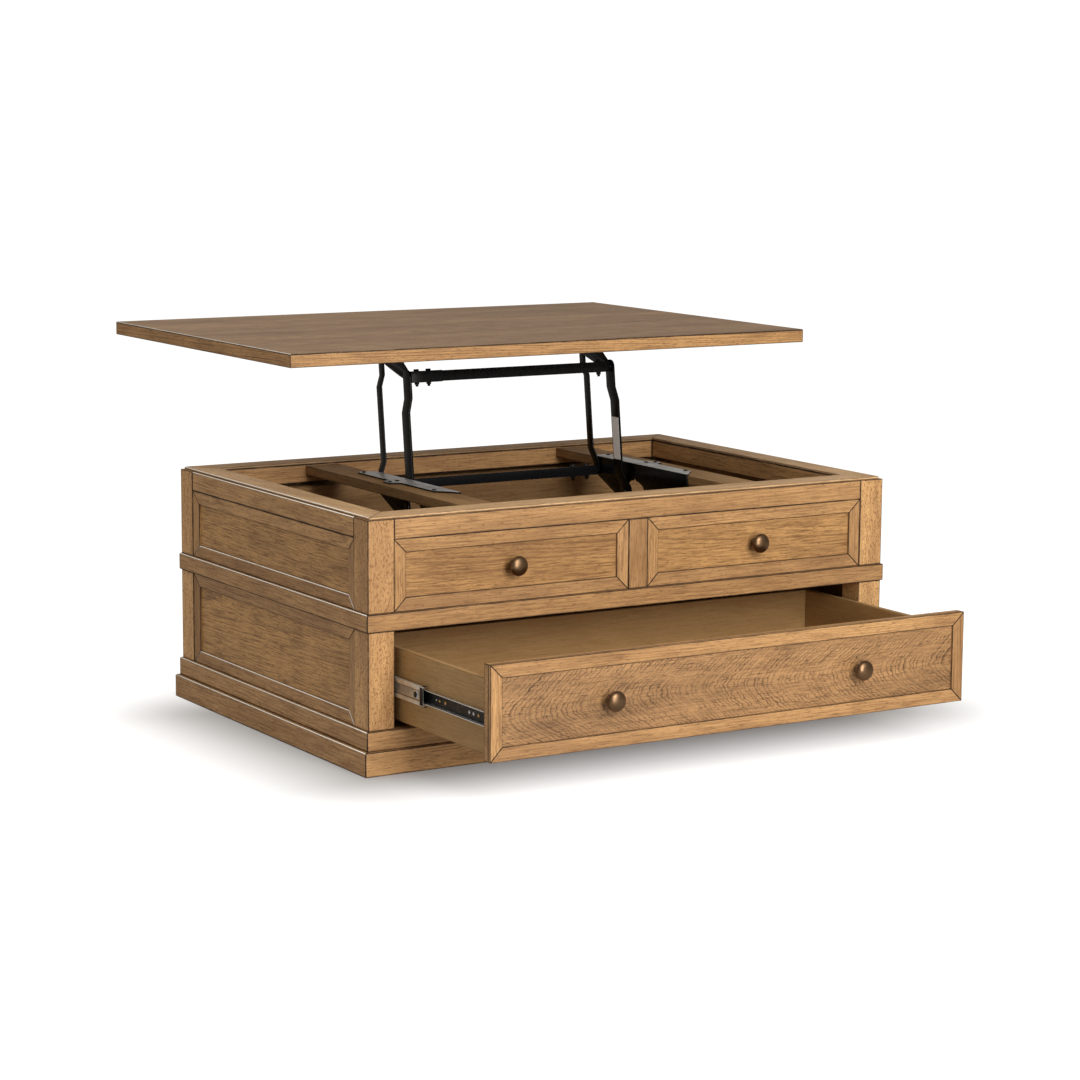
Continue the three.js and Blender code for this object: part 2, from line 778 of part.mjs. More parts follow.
// The cabinet member starts just behind the closed drawer's front. The middle member runs
// half as far as the drawer. Each member is lower than the one that it runs in.
const slideStart = drawerFrontThickness + 2;
const members = [
  {
    name: 'cabinet',
    height: slideHeight,
    web: postInner - fitGap,
    facing: -1,
    reach: drawerSideGap - 4.5,
    start: slideStart,
    length: slideLength,
  },
  {
    name: 'middle',
    height: slideHeight - slideStep,
    web: postInner - fitGap - slideSheet - slideBallGap,
    facing: -1,
    reach: drawerSideGap - 6,
    start: slideStart + slideMiddleLead - drawerTravel / 2,
    length: slideLength - 50,
  },
  {
    name: 'drawer',
    height: slideHeight - 2 * slideStep,
    web: drawerSideOuter + fitGap,
    facing: 1,
    reach: drawerSideGap - 6,
    start: drawerBoxFront + 2,
    length: slideLength - 25,
  },
];
for (const [side, sign] of Object.entries(sides)) {
  for (const { name, height, web, facing, reach, start, length } of members) {
    const section = channel(height, reach).map(([x, z]) => [sign * (web + facing * x), z + slideZ]);
    add(`slide_${name}_${side}`, backward(section, start, start + length), finishes.zinc);
  }
}

// ---------------------------------------------------------------- knobs

// Half outline of a mushroom knob, from the foot on the panel to the middle of the dome.
function knobProfile() {
  const headStart = knobLength - knobHeadHeight;
  const widest = knobLength - knobDomeHeight;
  const foot = [[0, 0], [knobFootRadius, 0], [knobFootRadius, 2], [knobStemRadius, 4.5]];
  const quarter = (count) => Array.from({ length: count }, (_, i) => ((i + 1) / count) * (Math.PI / 2));
  const under = quarter(3).map((angle) => [
    knobStemRadius + (knobRadius - knobStemRadius) * Math.sin(angle),
    widest - (widest - headStart) * Math.cos(angle),
  ]);
  const dome = quarter(5).map((angle) => [
    knobRadius * Math.cos(angle),
    widest + knobDomeHeight * Math.sin(angle),
  ]);
  dome[dome.length - 1][0] = 0;
  return [...foot, [knobStemRadius, headStart], ...under, ...dome];
}

function knob(x, y, z) {
  const profile = knobProfile().map(([radius, out]) => new THREE.Vector2(radius, out));
  return new THREE.LatheGeometry(profile, 20).rotateX(Math.PI).translate(x, y, z);
}

const falseFace = panelInset + frameStep - fitGap;
const drawerFace = frameStep - drawerTravel - fitGap;
const knobRows = [
  { row: 'upper', face: falseFace, z: upperMiddle },
  { row: 'drawer', face: drawerFace, z: drawerMiddle },
];
for (const { row, face, z } of knobRows) {
  for (const [side, sign] of Object.entries(sides)) {
    add(`knob_${row}_${side}`, knob(sign * falseFrontMiddle, face, z), finishes.bronze);
  }
}

// ---------------------------------------------------------------- centre the table

// The origin is on the floor under the middle of the table as it stands here, from the
// drawer knobs at the front to the raised lid at the back.
const foremost = drawerFace - knobLength;
table.position.y = -(foremost + lidRear) / 2;

export default table;
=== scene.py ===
# %% [markdown]
# # A lift top coffee table
# The frame file holds the table's plain shapes, their joints and their record. This lesson
# gives each board its softened edges, its own run of grain and its finish, and each steel
# piece its pressed edges and its coating. The table isn't moved or resized anywhere.

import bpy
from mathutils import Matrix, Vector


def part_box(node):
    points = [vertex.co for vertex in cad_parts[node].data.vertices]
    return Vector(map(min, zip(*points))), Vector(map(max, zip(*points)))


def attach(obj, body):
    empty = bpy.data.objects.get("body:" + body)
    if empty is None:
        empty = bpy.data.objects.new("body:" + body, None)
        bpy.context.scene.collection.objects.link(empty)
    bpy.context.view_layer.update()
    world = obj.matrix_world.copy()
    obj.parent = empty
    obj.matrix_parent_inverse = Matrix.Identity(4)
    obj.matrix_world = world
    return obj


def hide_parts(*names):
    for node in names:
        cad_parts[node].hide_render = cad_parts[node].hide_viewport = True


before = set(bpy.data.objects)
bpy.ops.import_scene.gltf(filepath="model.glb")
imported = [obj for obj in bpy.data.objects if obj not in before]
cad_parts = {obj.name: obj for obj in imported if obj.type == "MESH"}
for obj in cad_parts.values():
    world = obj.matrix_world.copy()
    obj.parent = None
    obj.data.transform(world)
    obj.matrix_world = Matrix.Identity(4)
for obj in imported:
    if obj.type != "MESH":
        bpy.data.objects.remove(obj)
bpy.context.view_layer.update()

# %% [markdown]
# ## Units and small helpers
# Blender works in metres. Cabinet makers think in millimetres, so sizes are written as a
# number times MM. An operator acts on all that is selected, so each step first makes one
# object the only selected one.

# %% Helpers for units, colours and selection
import contextlib
import math
import random

import bpy
from mathutils import Matrix, Vector

MM = 0.001
X, Y, Z = Vector((1, 0, 0)), Vector((0, 1, 0)), Vector((0, 0, 1))
SIDES = {"left": -1, "right": 1}
FACES = {"front": -Y, "back": Y, "left": -X, "right": X}

bpy.ops.object.select_all(action="DESELECT")


def paint(red, green, blue):
    """A colour picked in 0 to 255 display values, as the linear numbers that shaders use."""
    return tuple((part / 255) ** 2.2 for part in (red, green, blue)) + (1.0,)


def work_on(piece):
    """Make this piece the only thing selected, and the active object."""
    bpy.ops.object.select_all(action="DESELECT")
    piece.select_set(True)
    bpy.context.view_layer.objects.active = piece


@contextlib.contextmanager
def editing(piece, kind="FACE", select="SELECT"):
    """Open a piece in edit mode with all of it selected, or none, and close it afterwards."""
    work_on(piece)
    bpy.context.tool_settings.mesh_select_mode = [kind == each for each in ("VERT", "EDGE", "FACE")]
    bpy.ops.object.mode_set(mode="EDIT")
    bpy.ops.mesh.select_all(action=select)
    yield
    bpy.ops.object.mode_set(mode="OBJECT")


def select_faces(piece, chosen):
    """Select the faces that chosen picks and no others, ready for edit mode."""
    with editing(piece):
        bpy.ops.mesh.select_all(action="DESELECT")
    for face in piece.data.polygons:
        face.select = chosen(face)


def face_outwards(piece):
    """Turn every face to look out of the piece."""
    with editing(piece):
        bpy.ops.mesh.normals_make_consistent(inside=False)


print("honey tan is", [round(part, 3) for part in paint(176, 135, 88)])

# %% [markdown]
# ## Shader helpers
# A material is a graph of nodes. These small functions add a node and wire its inputs in one
# line: a value that is a socket is linked, and any other value is typed in.

# %% Node helpers
def node(tree, kind, inputs=None, **settings):
    """Add a node of this kind, set it up, and fill or link its inputs."""
    made = tree.nodes.new(kind)
    for setting, value in settings.items():
        setattr(made, setting, value)
    for key, value in (inputs or {}).items():
        if isinstance(value, bpy.types.NodeSocket):
            tree.links.new(value, made.inputs[key])
        else:
            made.inputs[key].default_value = value
    return made


def maths(tree, operation, first, second=0.0, clamp=False):
    made = node(tree, "ShaderNodeMath", {0: first, 1: second}, operation=operation, use_clamp=clamp)
    return made.outputs[0]


def vectors(tree, operation, first, second=(0, 0, 0)):
    made = node(tree, "ShaderNodeVectorMath", {0: first, 1: second}, operation=operation)
    return made.outputs[0]


def mix(tree, amount, first, second):
    """The first colour, turned into the second by amount."""
    made = node(tree, "ShaderNodeMix", {0: amount, 6: first, 7: second}, data_type="RGBA")
    return made.outputs[2]


def spread(tree, value, low, high, to_low=0.0, to_high=1.0):
    """Stretch value from low..high to to_low..to_high, and hold it there."""
    places = {"Value": value, 1: low, 2: high, 3: to_low, 4: to_high}
    return node(tree, "ShaderNodeMapRange", places).outputs[0]


def noise(tree, vector, scale, detail=2.0, roughness=0.5):
    settings = {"Vector": vector, "Scale": scale, "Detail": detail, "Roughness": roughness}
    return node(tree, "ShaderNodeTexNoise", settings).outputs["Fac"]


def new_group(name, inputs, outputs):
    """A node group with named sockets. inputs is {name: (socket type, default)}."""
    tree = bpy.data.node_groups.new(name, "ShaderNodeTree")
    for label, (kind, value) in inputs.items():
        socket = tree.interface.new_socket(label, in_out="INPUT", socket_type=kind)
        if value is not None:
            socket.default_value = value
    for label in outputs:
        tree.interface.new_socket(label, in_out="OUTPUT", socket_type="NodeSocketFloat")
    return tree, tree.nodes.new("NodeGroupInput"), tree.nodes.new("NodeGroupOutput")


FLOAT, VECTOR = "NodeSocketFloat", "NodeSocketVector"
print("node helpers ready")

# %% [markdown]
# ## Camera, floor and light
# The table is seen from its front left corner, from a little above the lid. The long lens
# keeps the boards' edges nearly parallel. A camera looks along its own -Z, so its matrix is
# made of three directions: right, up and backwards.

# %% Camera
CAMERA_PLACE = Vector((-3.1422, -5.1358, 1.3060))
YAW, PITCH, ROLL = (math.radians(angle) for angle in (31.507, -9.026, 0.398))

ahead = Vector((math.sin(YAW) * math.cos(PITCH), math.cos(YAW) * math.cos(PITCH), math.sin(PITCH)))
level_right = Vector((math.cos(YAW), -math.sin(YAW), 0))
level_up = level_right.cross(ahead)
right = level_right * math.cos(ROLL) + level_up * math.sin(ROLL)
up = level_up * math.cos(ROLL) - level_right * math.sin(ROLL)

lens = bpy.data.cameras.new("studio_camera")
lens.lens = 98.2
lens.sensor_width = 36
lens.clip_end = 60
camera = bpy.data.objects.new("studio_camera", lens)
bpy.context.scene.collection.objects.link(camera)
turn = Matrix((right, up, -ahead)).transposed().to_4x4()
camera.matrix_world = Matrix.Translation(CAMERA_PLACE) @ turn
bpy.context.scene.camera = camera
bpy.context.scene.view_settings.view_transform = "Standard"
print("camera looks along", [round(part, 3) for part in ahead])


# %% [markdown]
# A studio shot has a white sweep and large soft lamps. The sweep here is one flat floor and
# a white world. To the camera the floor glows, least close to the table, so a soft shadow
# round the table's foot is painted into it. The main lamp stands in front and to the right,
# so the front is bright and the left side falls into shade, and a weaker one overhead lights
# the top edges, whose light lines are painted highlights as well.

# %% Floor and lamps
# How the floor's painted shadow fades, in metres out from the table's footprint: darkest at the first,
# gone by the second. The next value is how far back that footprint reaches.
PAINTED_SHADOW_CORE, PAINTED_SHADOW_EDGE = -0.06, 0.34
PAINTED_SHADOW_BACK = 0.25
WARM_WHITE = (1.0, 0.98, 0.95)


def lamp(name, place, aim, size, watts, colour=(1, 1, 1)):
    """A square area lamp at place, turned to face aim."""
    light = bpy.data.lights.new(name, "AREA")
    light.size = size
    light.energy = watts
    light.color = colour
    holder = bpy.data.objects.new(name, light)
    holder.matrix_world = Matrix.Translation(place)
    holder.rotation_euler = (Vector(aim) - Vector(place)).to_track_quat("-Z", "Y").to_euler()
    bpy.context.scene.collection.objects.link(holder)


def shadow_painted_floor(half_size, centre):
    """A white sweep with a painted shadow: to the camera it glows more with distance from the table's
    footprint, so it stays darker close round the table.
    """
    sweep = bpy.data.materials.new("studio_white")
    sweep.use_nodes = True
    tree = sweep.node_tree
    shader = tree.nodes["Principled BSDF"]
    shader.inputs["Roughness"].default_value = 0.9
    shader.inputs["Specular IOR Level"].default_value = 0.0
    shader.inputs["Emission Color"].default_value = (1, 1, 1, 1)

    place = node(tree, "ShaderNodeTexCoord").outputs["Object"]
    away = vectors(tree, "ABSOLUTE", vectors(tree, "SUBTRACT", place, centre))
    away = vectors(tree, "MAXIMUM", vectors(tree, "SUBTRACT", away, half_size))
    distance = node(tree, "ShaderNodeVectorMath", {0: away}, operation="LENGTH").outputs["Value"]
    # The glow is weakest at the footprint. This is the painted shadow round the table's foot.
    stops = {"Value": distance, 1: PAINTED_SHADOW_CORE, 2: PAINTED_SHADOW_EDGE, 3: 0.1, 4: 0.9}
    painted_shadow_glow = node(tree, "ShaderNodeMapRange", stops, interpolation_type="SMOOTHSTEP").outputs[0]
    seen = node(tree, "ShaderNodeLightPath").outputs["Is Camera Ray"]
    tree.links.new(maths(tree, "MULTIPLY", seen, painted_shadow_glow), shader.inputs["Emission Strength"])
    paper = mix(tree, seen, (0.7, 0.69, 0.67, 1), (0.4, 0.4, 0.4, 1))
    tree.links.new(paper, shader.inputs["Base Color"])
    return sweep


bpy.ops.mesh.primitive_plane_add(size=60, location=(0, 0, 0))
studio_floor = bpy.context.object
studio_floor.name = "studio_floor"
case_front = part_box("base_board_front")[0].y
footprint = Vector((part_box("base_board_right")[1].x, (PAINTED_SHADOW_BACK - case_front) / 2, 0))
footprint_centre = (0, (PAINTED_SHADOW_BACK + case_front) / 2, 0)
studio_floor.data.materials.append(shadow_painted_floor(footprint, footprint_centre))

world = bpy.data.worlds.new("studio_world")
world.use_nodes = True
tree = world.node_tree
background = tree.nodes["Background"]
seen = node(tree, "ShaderNodeLightPath").outputs["Is Camera Ray"]
sky = mix(tree, seen, (1.0, 0.94, 0.86, 1), (1, 1, 1, 1))
tree.links.new(sky, background.inputs["Color"])
tree.links.new(spread(tree, seen, 0.0, 1.0, 0.38, 1.05), background.inputs["Strength"])
bpy.context.scene.world = world

lamp("key_lamp", (-0.15, -4.9, 2.7), (-0.15, 0, 0.3), 2.2, 200, WARM_WHITE)
lamp("front_fill", (-0.3, -5.2, 0.6), (-0.3, 0, 0.15), 1.3, 76, WARM_WHITE)
lamp("top_lamp", (-1.2, 0.8, 3.6), (0, 0, 0.4), 2.2, 33, (1.0, 0.97, 0.93))


# %% [markdown]
# ## The figure of the wood
# A tree's rings are nested cones round its heart. A board is a flat slice through them, so
# the lines on its face are nested arches where it passes near the heart, and nearly straight
# where it lies far off. The group below works out how far each point is from the heart,
# takes off the taper, and repeats the result once per ring. Stretched noise adds fibres,
# pores and clouds of colour. Each board brings its own coordinates in an attribute, so the
# pattern follows the board and no two boards match.

# %% Wood figure group
tree, given, put_out = new_group(
    "wood_figure",
    {
        "Board": (VECTOR, None),
        "Ring Width": (FLOAT, 0.005),
        "Taper": (FLOAT, 0.02),
        "Heart Depth": (FLOAT, 0.05),
        "Waviness": (FLOAT, 0.01),
        "Zigzag": (FLOAT, 0.002),
    },
    ("Rings", "Fibre", "Pores", "Cloud"),
)
board = given.outputs["Board"]
drift = vectors(tree, "MULTIPLY", board, (2.2, 9, 9))
sway = maths(tree, "SUBTRACT", noise(tree, drift, 1.0, 2), 0.5)
sway = maths(tree, "MULTIPLY", sway, given.outputs["Waviness"])
ripple = vectors(tree, "MULTIPLY", board, (55, 130, 130))
ripple = maths(tree, "SUBTRACT", noise(tree, ripple, 1.0, 2), 0.5)
ripple = maths(tree, "MULTIPLY", ripple, given.outputs["Zigzag"])
parts = node(tree, "ShaderNodeSeparateXYZ", {0: board}).outputs
sideways = maths(tree, "ADD", parts[1], sway)
depth = maths(tree, "ADD", parts[2], given.outputs["Heart Depth"])
squares = [maths(tree, "MULTIPLY", way, way) for way in (sideways, depth)]
from_heart = maths(tree, "SQRT", maths(tree, "ADD", *squares))
tapered = maths(tree, "MULTIPLY", parts[0], given.outputs["Taper"])
from_heart = maths(tree, "SUBTRACT", from_heart, tapered)
from_heart = maths(tree, "ADD", from_heart, ripple)
rings_out = maths(tree, "DIVIDE", from_heart, given.outputs["Ring Width"])
seasons = node(tree, "ShaderNodeCombineXYZ", {0: maths(tree, "MULTIPLY", rings_out, 0.45)}).outputs[0]
rings_out = maths(tree, "ADD", rings_out, maths(tree, "MULTIPLY", noise(tree, seasons, 1.0, 1), 2.4))
ring = maths(tree, "FRACT", rings_out)
late_wood = maths(tree, "POWER", spread(tree, ring, 0.5, 0.95), 1.6)
early_wood = spread(tree, ring, 0.95, 1.0, 1.0, 0.0)
rings = maths(tree, "MULTIPLY", late_wood, early_wood)
patchy = noise(tree, vectors(tree, "MULTIPLY", board, (7, 40, 40)), 1.0, 2)
rings = maths(tree, "MULTIPLY", rings, spread(tree, patchy, 0.36, 0.6, 0.3, 1.0))
fibre = noise(tree, vectors(tree, "MULTIPLY", board, (17, 330, 330)), 1.0, 4, 0.66)
pores = noise(tree, vectors(tree, "MULTIPLY", board, (75, 520, 520)), 1.0, 1)
pores = spread(tree, pores, 0.6, 0.68)
broad = noise(tree, vectors(tree, "MULTIPLY", board, (1.6, 14, 14)), 1.0, 3)
blotch = noise(tree, vectors(tree, "MULTIPLY", board, (11, 34, 34)), 1.0, 3)
cloud = maths(tree, "ADD", maths(tree, "MULTIPLY", broad, 0.6), maths(tree, "MULTIPLY", blotch, 0.4))
for label, value in (("Rings", rings), ("Fibre", fibre), ("Pores", pores), ("Cloud", cloud)):
    tree.links.new(value, put_out.inputs[label])
wood_figure = tree
print("wood figure has", len(tree.nodes), "nodes")

# %% [markdown]
# ## Glaze in the joints, and painted highlights
# The maker wiped a dark glaze over the finished case. It stayed in every joint and edge.
# Along the upper edges of the sides the glaze is lifted and a near white is painted in: a
# painted highlight where light catches the edge, which also reads as rubbed wear. Each piece
# has an attribute called edge, 1 on its softened edges and 0 inside a narrow margin, and one
# called rub on the edges that get the painted highlight. Noise breaks both up, so
# no line is ruled.

# %% Glaze group
tree, given, put_out = new_group(
    "joint_glaze",
    {"Edge": (FLOAT, 0.0), "Rub": (FLOAT, 0.0), "Board": (VECTOR, None)},
    ("Glaze", "Worn"),
)
patches = noise(tree, vectors(tree, "MULTIPLY", given.outputs["Board"], (26, 60, 60)), 1.0, 2)
line = spread(tree, given.outputs["Edge"], 0.62, 0.95)
line = maths(tree, "MULTIPLY", line, spread(tree, patches, 0.3, 0.5, 0.62, 1.0))
halo = maths(tree, "MULTIPLY", maths(tree, "POWER", given.outputs["Edge"], 1.5), 0.6)
stain = maths(tree, "MAXIMUM", line, maths(tree, "MULTIPLY", halo, patches))
worn = maths(tree, "MULTIPLY", given.outputs["Rub"], spread(tree, patches, 0.26, 0.4, 0.55, 1.0))
stain = maths(tree, "MULTIPLY", stain, maths(tree, "SUBTRACT", 1.0, worn))
tree.links.new(stain, put_out.inputs["Glaze"])
tree.links.new(worn, put_out.inputs["Worn"])
joint_glaze = tree
print("joint glaze has", len(tree.nodes), "nodes")


# %% [markdown]
# ## Wood finishes
# All the wood is one species under one stain, so one function makes every wood finish. What
# changes is how the board was cut, how strong its lines are and how brown the stain is.

# %% Wood materials
GLAZE_BROWN = paint(38, 27, 19)
# A near white for the upper edges: a painted highlight, also standing for rubbed wear.
PAINTED_HIGHLIGHT = paint(255, 249, 240)


def wood(name, light, dark, rings, ring_width=5 * MM, taper=0.02, heart=60 * MM, waviness=14 * MM,
         zigzag=2 * MM, speckle=0.0, gloss=0.5, glaze=1.0, grain=0.6):
    """A stained wood. light and dark are its two tones, rings the strength of its lines."""
    finish = bpy.data.materials.new(name)
    finish.use_nodes = True
    tree = finish.node_tree
    shader = tree.nodes["Principled BSDF"]
    board = node(tree, "ShaderNodeAttribute", attribute_name="board").outputs["Vector"]
    edge = node(tree, "ShaderNodeAttribute", attribute_name="edge").outputs["Fac"]
    rub = node(tree, "ShaderNodeAttribute", attribute_name="rub").outputs["Fac"]
    tone = node(tree, "ShaderNodeAttribute", attribute_name="tone").outputs["Fac"]
    figure = node(tree, "ShaderNodeGroup", node_tree=wood_figure)
    tree.links.new(board, figure.inputs["Board"])
    for label, value in (("Ring Width", ring_width), ("Taper", taper), ("Heart Depth", heart),
                         ("Waviness", waviness), ("Zigzag", zigzag)):
        figure.inputs[label].default_value = value
    figure = figure.outputs
    joints = node(tree, "ShaderNodeGroup", {}, node_tree=joint_glaze)
    for label, value in (("Edge", edge), ("Rub", rub), ("Board", board)):
        tree.links.new(value, joints.inputs[label])

    middle = tuple((a + b) / 2 for a, b in zip(light, dark))
    shade = maths(tree, "ADD", figure["Cloud"], maths(tree, "MULTIPLY", tone, 0.07))
    colour = mix(tree, spread(tree, shade, 0.36, 0.64), light, middle)
    streak = maths(tree, "MULTIPLY", spread(tree, figure["Fibre"], 0.46, 0.66), grain)
    colour = mix(tree, streak, colour, dark)
    colour = mix(tree, maths(tree, "MULTIPLY", figure["Rings"], rings), colour, dark)
    colour = mix(tree, maths(tree, "MULTIPLY", figure["Pores"], 0.55), colour, dark)
    if speckle:
        curl = noise(tree, vectors(tree, "MULTIPLY", board, (190, 320, 320)), 1.0, 2)
        speckles = maths(tree, "MULTIPLY", spread(tree, curl, 0.52, 0.64), speckle)
        colour = mix(tree, speckles, colour, dark)
    glazed = maths(tree, "MULTIPLY", joints.outputs["Glaze"], glaze)
    colour = mix(tree, glazed, colour, GLAZE_BROWN)
    # The painted highlight: near white along the upper edges, where the glaze is lifted.
    colour = mix(tree, maths(tree, "MULTIPLY", joints.outputs["Worn"], 0.95), colour, PAINTED_HIGHLIGHT)
    tree.links.new(colour, shader.inputs["Base Color"])

    rough = spread(tree, figure["Fibre"], 0.3, 0.7, gloss - 0.06, gloss + 0.1)
    rough = maths(tree, "ADD", rough, maths(tree, "MULTIPLY", joints.outputs["Glaze"], 0.3), clamp=True)
    tree.links.new(rough, shader.inputs["Roughness"])
    hollow = maths(tree, "ADD", figure["Pores"], maths(tree, "MULTIPLY", figure["Rings"], 0.5))
    height = maths(tree, "SUBTRACT", maths(tree, "MULTIPLY", figure["Fibre"], 0.35), hollow)
    bump = node(tree, "ShaderNodeBump", {"Height": height, "Strength": 0.35, "Distance": 0.25 * MM})
    tree.links.new(bump.outputs[0], shader.inputs["Normal"])
    shader.inputs["Specular IOR Level"].default_value = 0.4
    return finish


HONEY, HONEY_DARK = paint(192, 148, 98), paint(104, 70, 40)
WOODS = {
    "rail": wood("rail_wood", HONEY, HONEY_DARK, 0.5, ring_width=7 * MM, waviness=22 * MM),
    "stick": wood("moulding_wood", HONEY, HONEY_DARK, 0.6, ring_width=4.5 * MM, waviness=9 * MM),
    "post": wood("post_wood", paint(220, 173, 116), paint(112, 72, 40), 0.15, speckle=0.62, grain=0.34),
    "field": wood("panel_wood", paint(196, 150, 94), paint(92, 58, 30), 0.6, ring_width=5 * MM,
                  waviness=26 * MM, zigzag=2.5 * MM, grain=0.72),
    "drawer_field": wood("drawer_panel_wood", paint(170, 129, 86), paint(66, 42, 23), 1.0,
                         ring_width=7.4 * MM, taper=0.68, heart=18 * MM, waviness=40 * MM,
                         zigzag=11 * MM, grain=0.45),
    "lid_top": wood("lid_veneer", paint(166, 132, 96), paint(92, 66, 44), 0.6,
                    ring_width=9 * MM, taper=0.12, waviness=60 * MM, gloss=0.42, grain=0.7),
    "lid_edge": wood("lid_edge_wood", paint(196, 150, 98), paint(98, 66, 38), 0.9, ring_width=4 * MM,
                     waviness=8 * MM, zigzag=1 * MM, grain=0.45),
    "rim": wood("rim_wood", paint(216, 180, 136), paint(140, 104, 68), 0.35, ring_width=7 * MM,
                glaze=0.6),
    "inner": wood("inner_wood", paint(158, 124, 82), paint(104, 74, 44), 0.35, ring_width=8 * MM,
                  waviness=40 * MM, glaze=0.5, gloss=0.6),
    "drawer_box": wood("drawer_box_wood", paint(172, 138, 92), paint(140, 106, 66), 0.12,
                       ring_width=9 * MM, waviness=30 * MM, speckle=0.12, glaze=0.3, gloss=0.6),
}
print(len(WOODS), "woods")


# %% [markdown]
# ## From a cube to a board
# A board starts as a cube set at its size and place. Mitres are sawn with the bisect tool:
# it cuts the mesh at a plane, fills the cut and throws one side away. Bevel takes off the
# sharp edges, and inset adds a narrow margin round each flat, so that the glaze can fade
# out inside it. After bevel the new faces are the selected ones, so inverting the selection
# gives the flats.

# %% Board helpers
def slab(name, low, high):
    """A cube stretched between two corners, with its place kept in its mesh."""
    low, high = Vector(low), Vector(high)
    bpy.ops.object.select_all(action="DESELECT")
    bpy.ops.mesh.primitive_cube_add(size=1, location=(low + high) / 2)
    piece = bpy.context.object
    piece.name = name
    piece.scale = high - low
    bpy.ops.object.transform_apply(location=True, rotation=True, scale=True)
    return piece


def saw(piece, cuts):
    """Cut piece at each (point, normal) plane and drop the side that the normal points to."""
    work_on(piece)
    bpy.ops.object.mode_set(mode="EDIT")
    for point, normal in cuts:
        bpy.ops.mesh.select_all(action="SELECT")
        bpy.ops.mesh.bisect(plane_co=point, plane_no=normal.normalized(), use_fill=True,
                            clear_outer=True, threshold=0.005 * MM)
    bpy.ops.object.mode_set(mode="OBJECT")


def corners(piece):
    """The lowest and highest corner of a piece."""
    places = [vertex.co for vertex in piece.data.vertices]
    return Vector(map(min, zip(*places))), Vector(map(max, zip(*places)))


def note(piece, name, values, kind="FLOAT", domain="POINT"):
    """Store one number or vector per point (or face) under a name that shaders can read."""
    layer = piece.data.attributes.new(name, kind, domain)
    layer.data.foreach_set("vector" if kind == "FLOAT_VECTOR" else "value", values)


def ease_edges(piece, width, margin):
    """Bevel every edge, inset every flat, and note which points are on an edge."""
    with editing(piece):
        bpy.ops.mesh.bevel(offset=width, segments=2, affect="EDGES")
        bpy.ops.mesh.select_all(action="INVERT")
        bpy.ops.mesh.inset(thickness=margin, use_individual=True)
    flat = {point for face in piece.data.polygons if face.select for point in face.vertices}
    note(piece, "edge", [0.0 if point.index in flat else 1.0 for point in piece.data.vertices])
    bpy.ops.object.shade_smooth_by_angle(angle=math.radians(40))


def lay_grain(piece, grain, heart=None):
    """Give the board its own axes: along the grain, across it and into it, from a random place."""
    chance = random.Random(piece.name)
    low, high = corners(piece)
    size, middle = high - low, (low + high) / 2
    along = "XYZ".index(grain)
    across = sorted((axis for axis in range(3) if axis != along), key=lambda axis: -size[axis])
    axes = (along, *across)
    start = heart or (chance.uniform(0, 9), chance.uniform(-0.14, 0.14), chance.uniform(-0.02, 0.02))
    places = [
        point.co[axis] - middle[axis] + start[place]
        for point in piece.data.vertices
        for place, axis in enumerate(axes)
    ]
    note(piece, "board", places, "FLOAT_VECTOR")
    note(piece, "tone", [chance.uniform(-1, 1)] * len(piece.data.vertices))


HIGHLIT_SOFTEN = 1.5 * MM


def timber(name, low, high, wood_name, grain, body="case", cuts=(), soften=0.8 * MM, worn=(),
           highlight_strength=1.0, down_to=0.25, heart=None, stands_for=()):
    """A finished board between two corners. On the sides listed in worn its upper edges get a painted
    highlight.
    """
    piece = slab(name, low, high)
    if cuts:
        saw(piece, cuts)
    thinnest = min(b - a for a, b in zip(*corners(piece)))
    soften = min(HIGHLIT_SOFTEN if worn else soften, thinnest / 3)
    ease_edges(piece, soften, min(3 * MM, thinnest / 5))
    lay_grain(piece, grain, heart)
    # Faces that look up and out on the listed sides take the painted highlight.
    rubbed_and_highlit = [
        highlight_strength if face.normal.z > down_to and any(face.normal.dot(side) > 0.25 for side in worn) else 0.0
        for face in piece.data.polygons
    ]
    note(piece, "rub", rubbed_and_highlit, domain="FACE")
    piece.data.materials.append(WOODS[wood_name])
    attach(piece, body)
    if stands_for:
        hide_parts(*stands_for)
    return piece


def shifted(corner, **places):
    """A copy of a corner with some of its x, y or z set anew."""
    moved = Vector(corner)
    for axis, value in places.items():
        setattr(moved, axis, value)
    return moved


def face_axes(out):
    """The number of the axis that a side looks along, and of the one that runs along it."""
    looks = 0 if out.x else 1
    return looks, 1 - looks


def mitres(low, high, out):
    """The two saw cuts that mitre a board at the ends of a side that faces out."""
    looks, runs = face_axes(out)
    cuts = []
    for end, corner in ((-1, low), (1, high)):
        point, normal = Vector((0, 0, 0)), Vector((0, 0, 0))
        point[looks] = (high if out[looks] > 0 else low)[looks]
        point[runs] = corner[runs]
        normal[runs] = end
        normal[looks] = -out[looks]
        cuts.append((point, normal))
    return cuts


def grain_of(out):
    return "Y" if out.x else "X"


def highlit_and_worn_sides(out):
    """The front keeps its glaze; on the other sides the top edge gets a painted highlight."""
    return () if out.y < 0 else (out,)


print("board helpers ready")

# %% [markdown]
# ## Base
# The base is a plinth board with a moulding board on it, set back a little, mitred at the
# four corners. The step between them holds a dark line of glaze, and the upper edges of the
# side boards carry a painted highlight.

# %% Plinth and moulding
PLINTH_HEIGHT = 47 * MM
MOULDING_SET_BACK = 7.4 * MM
SEAM = 0.3 * MM

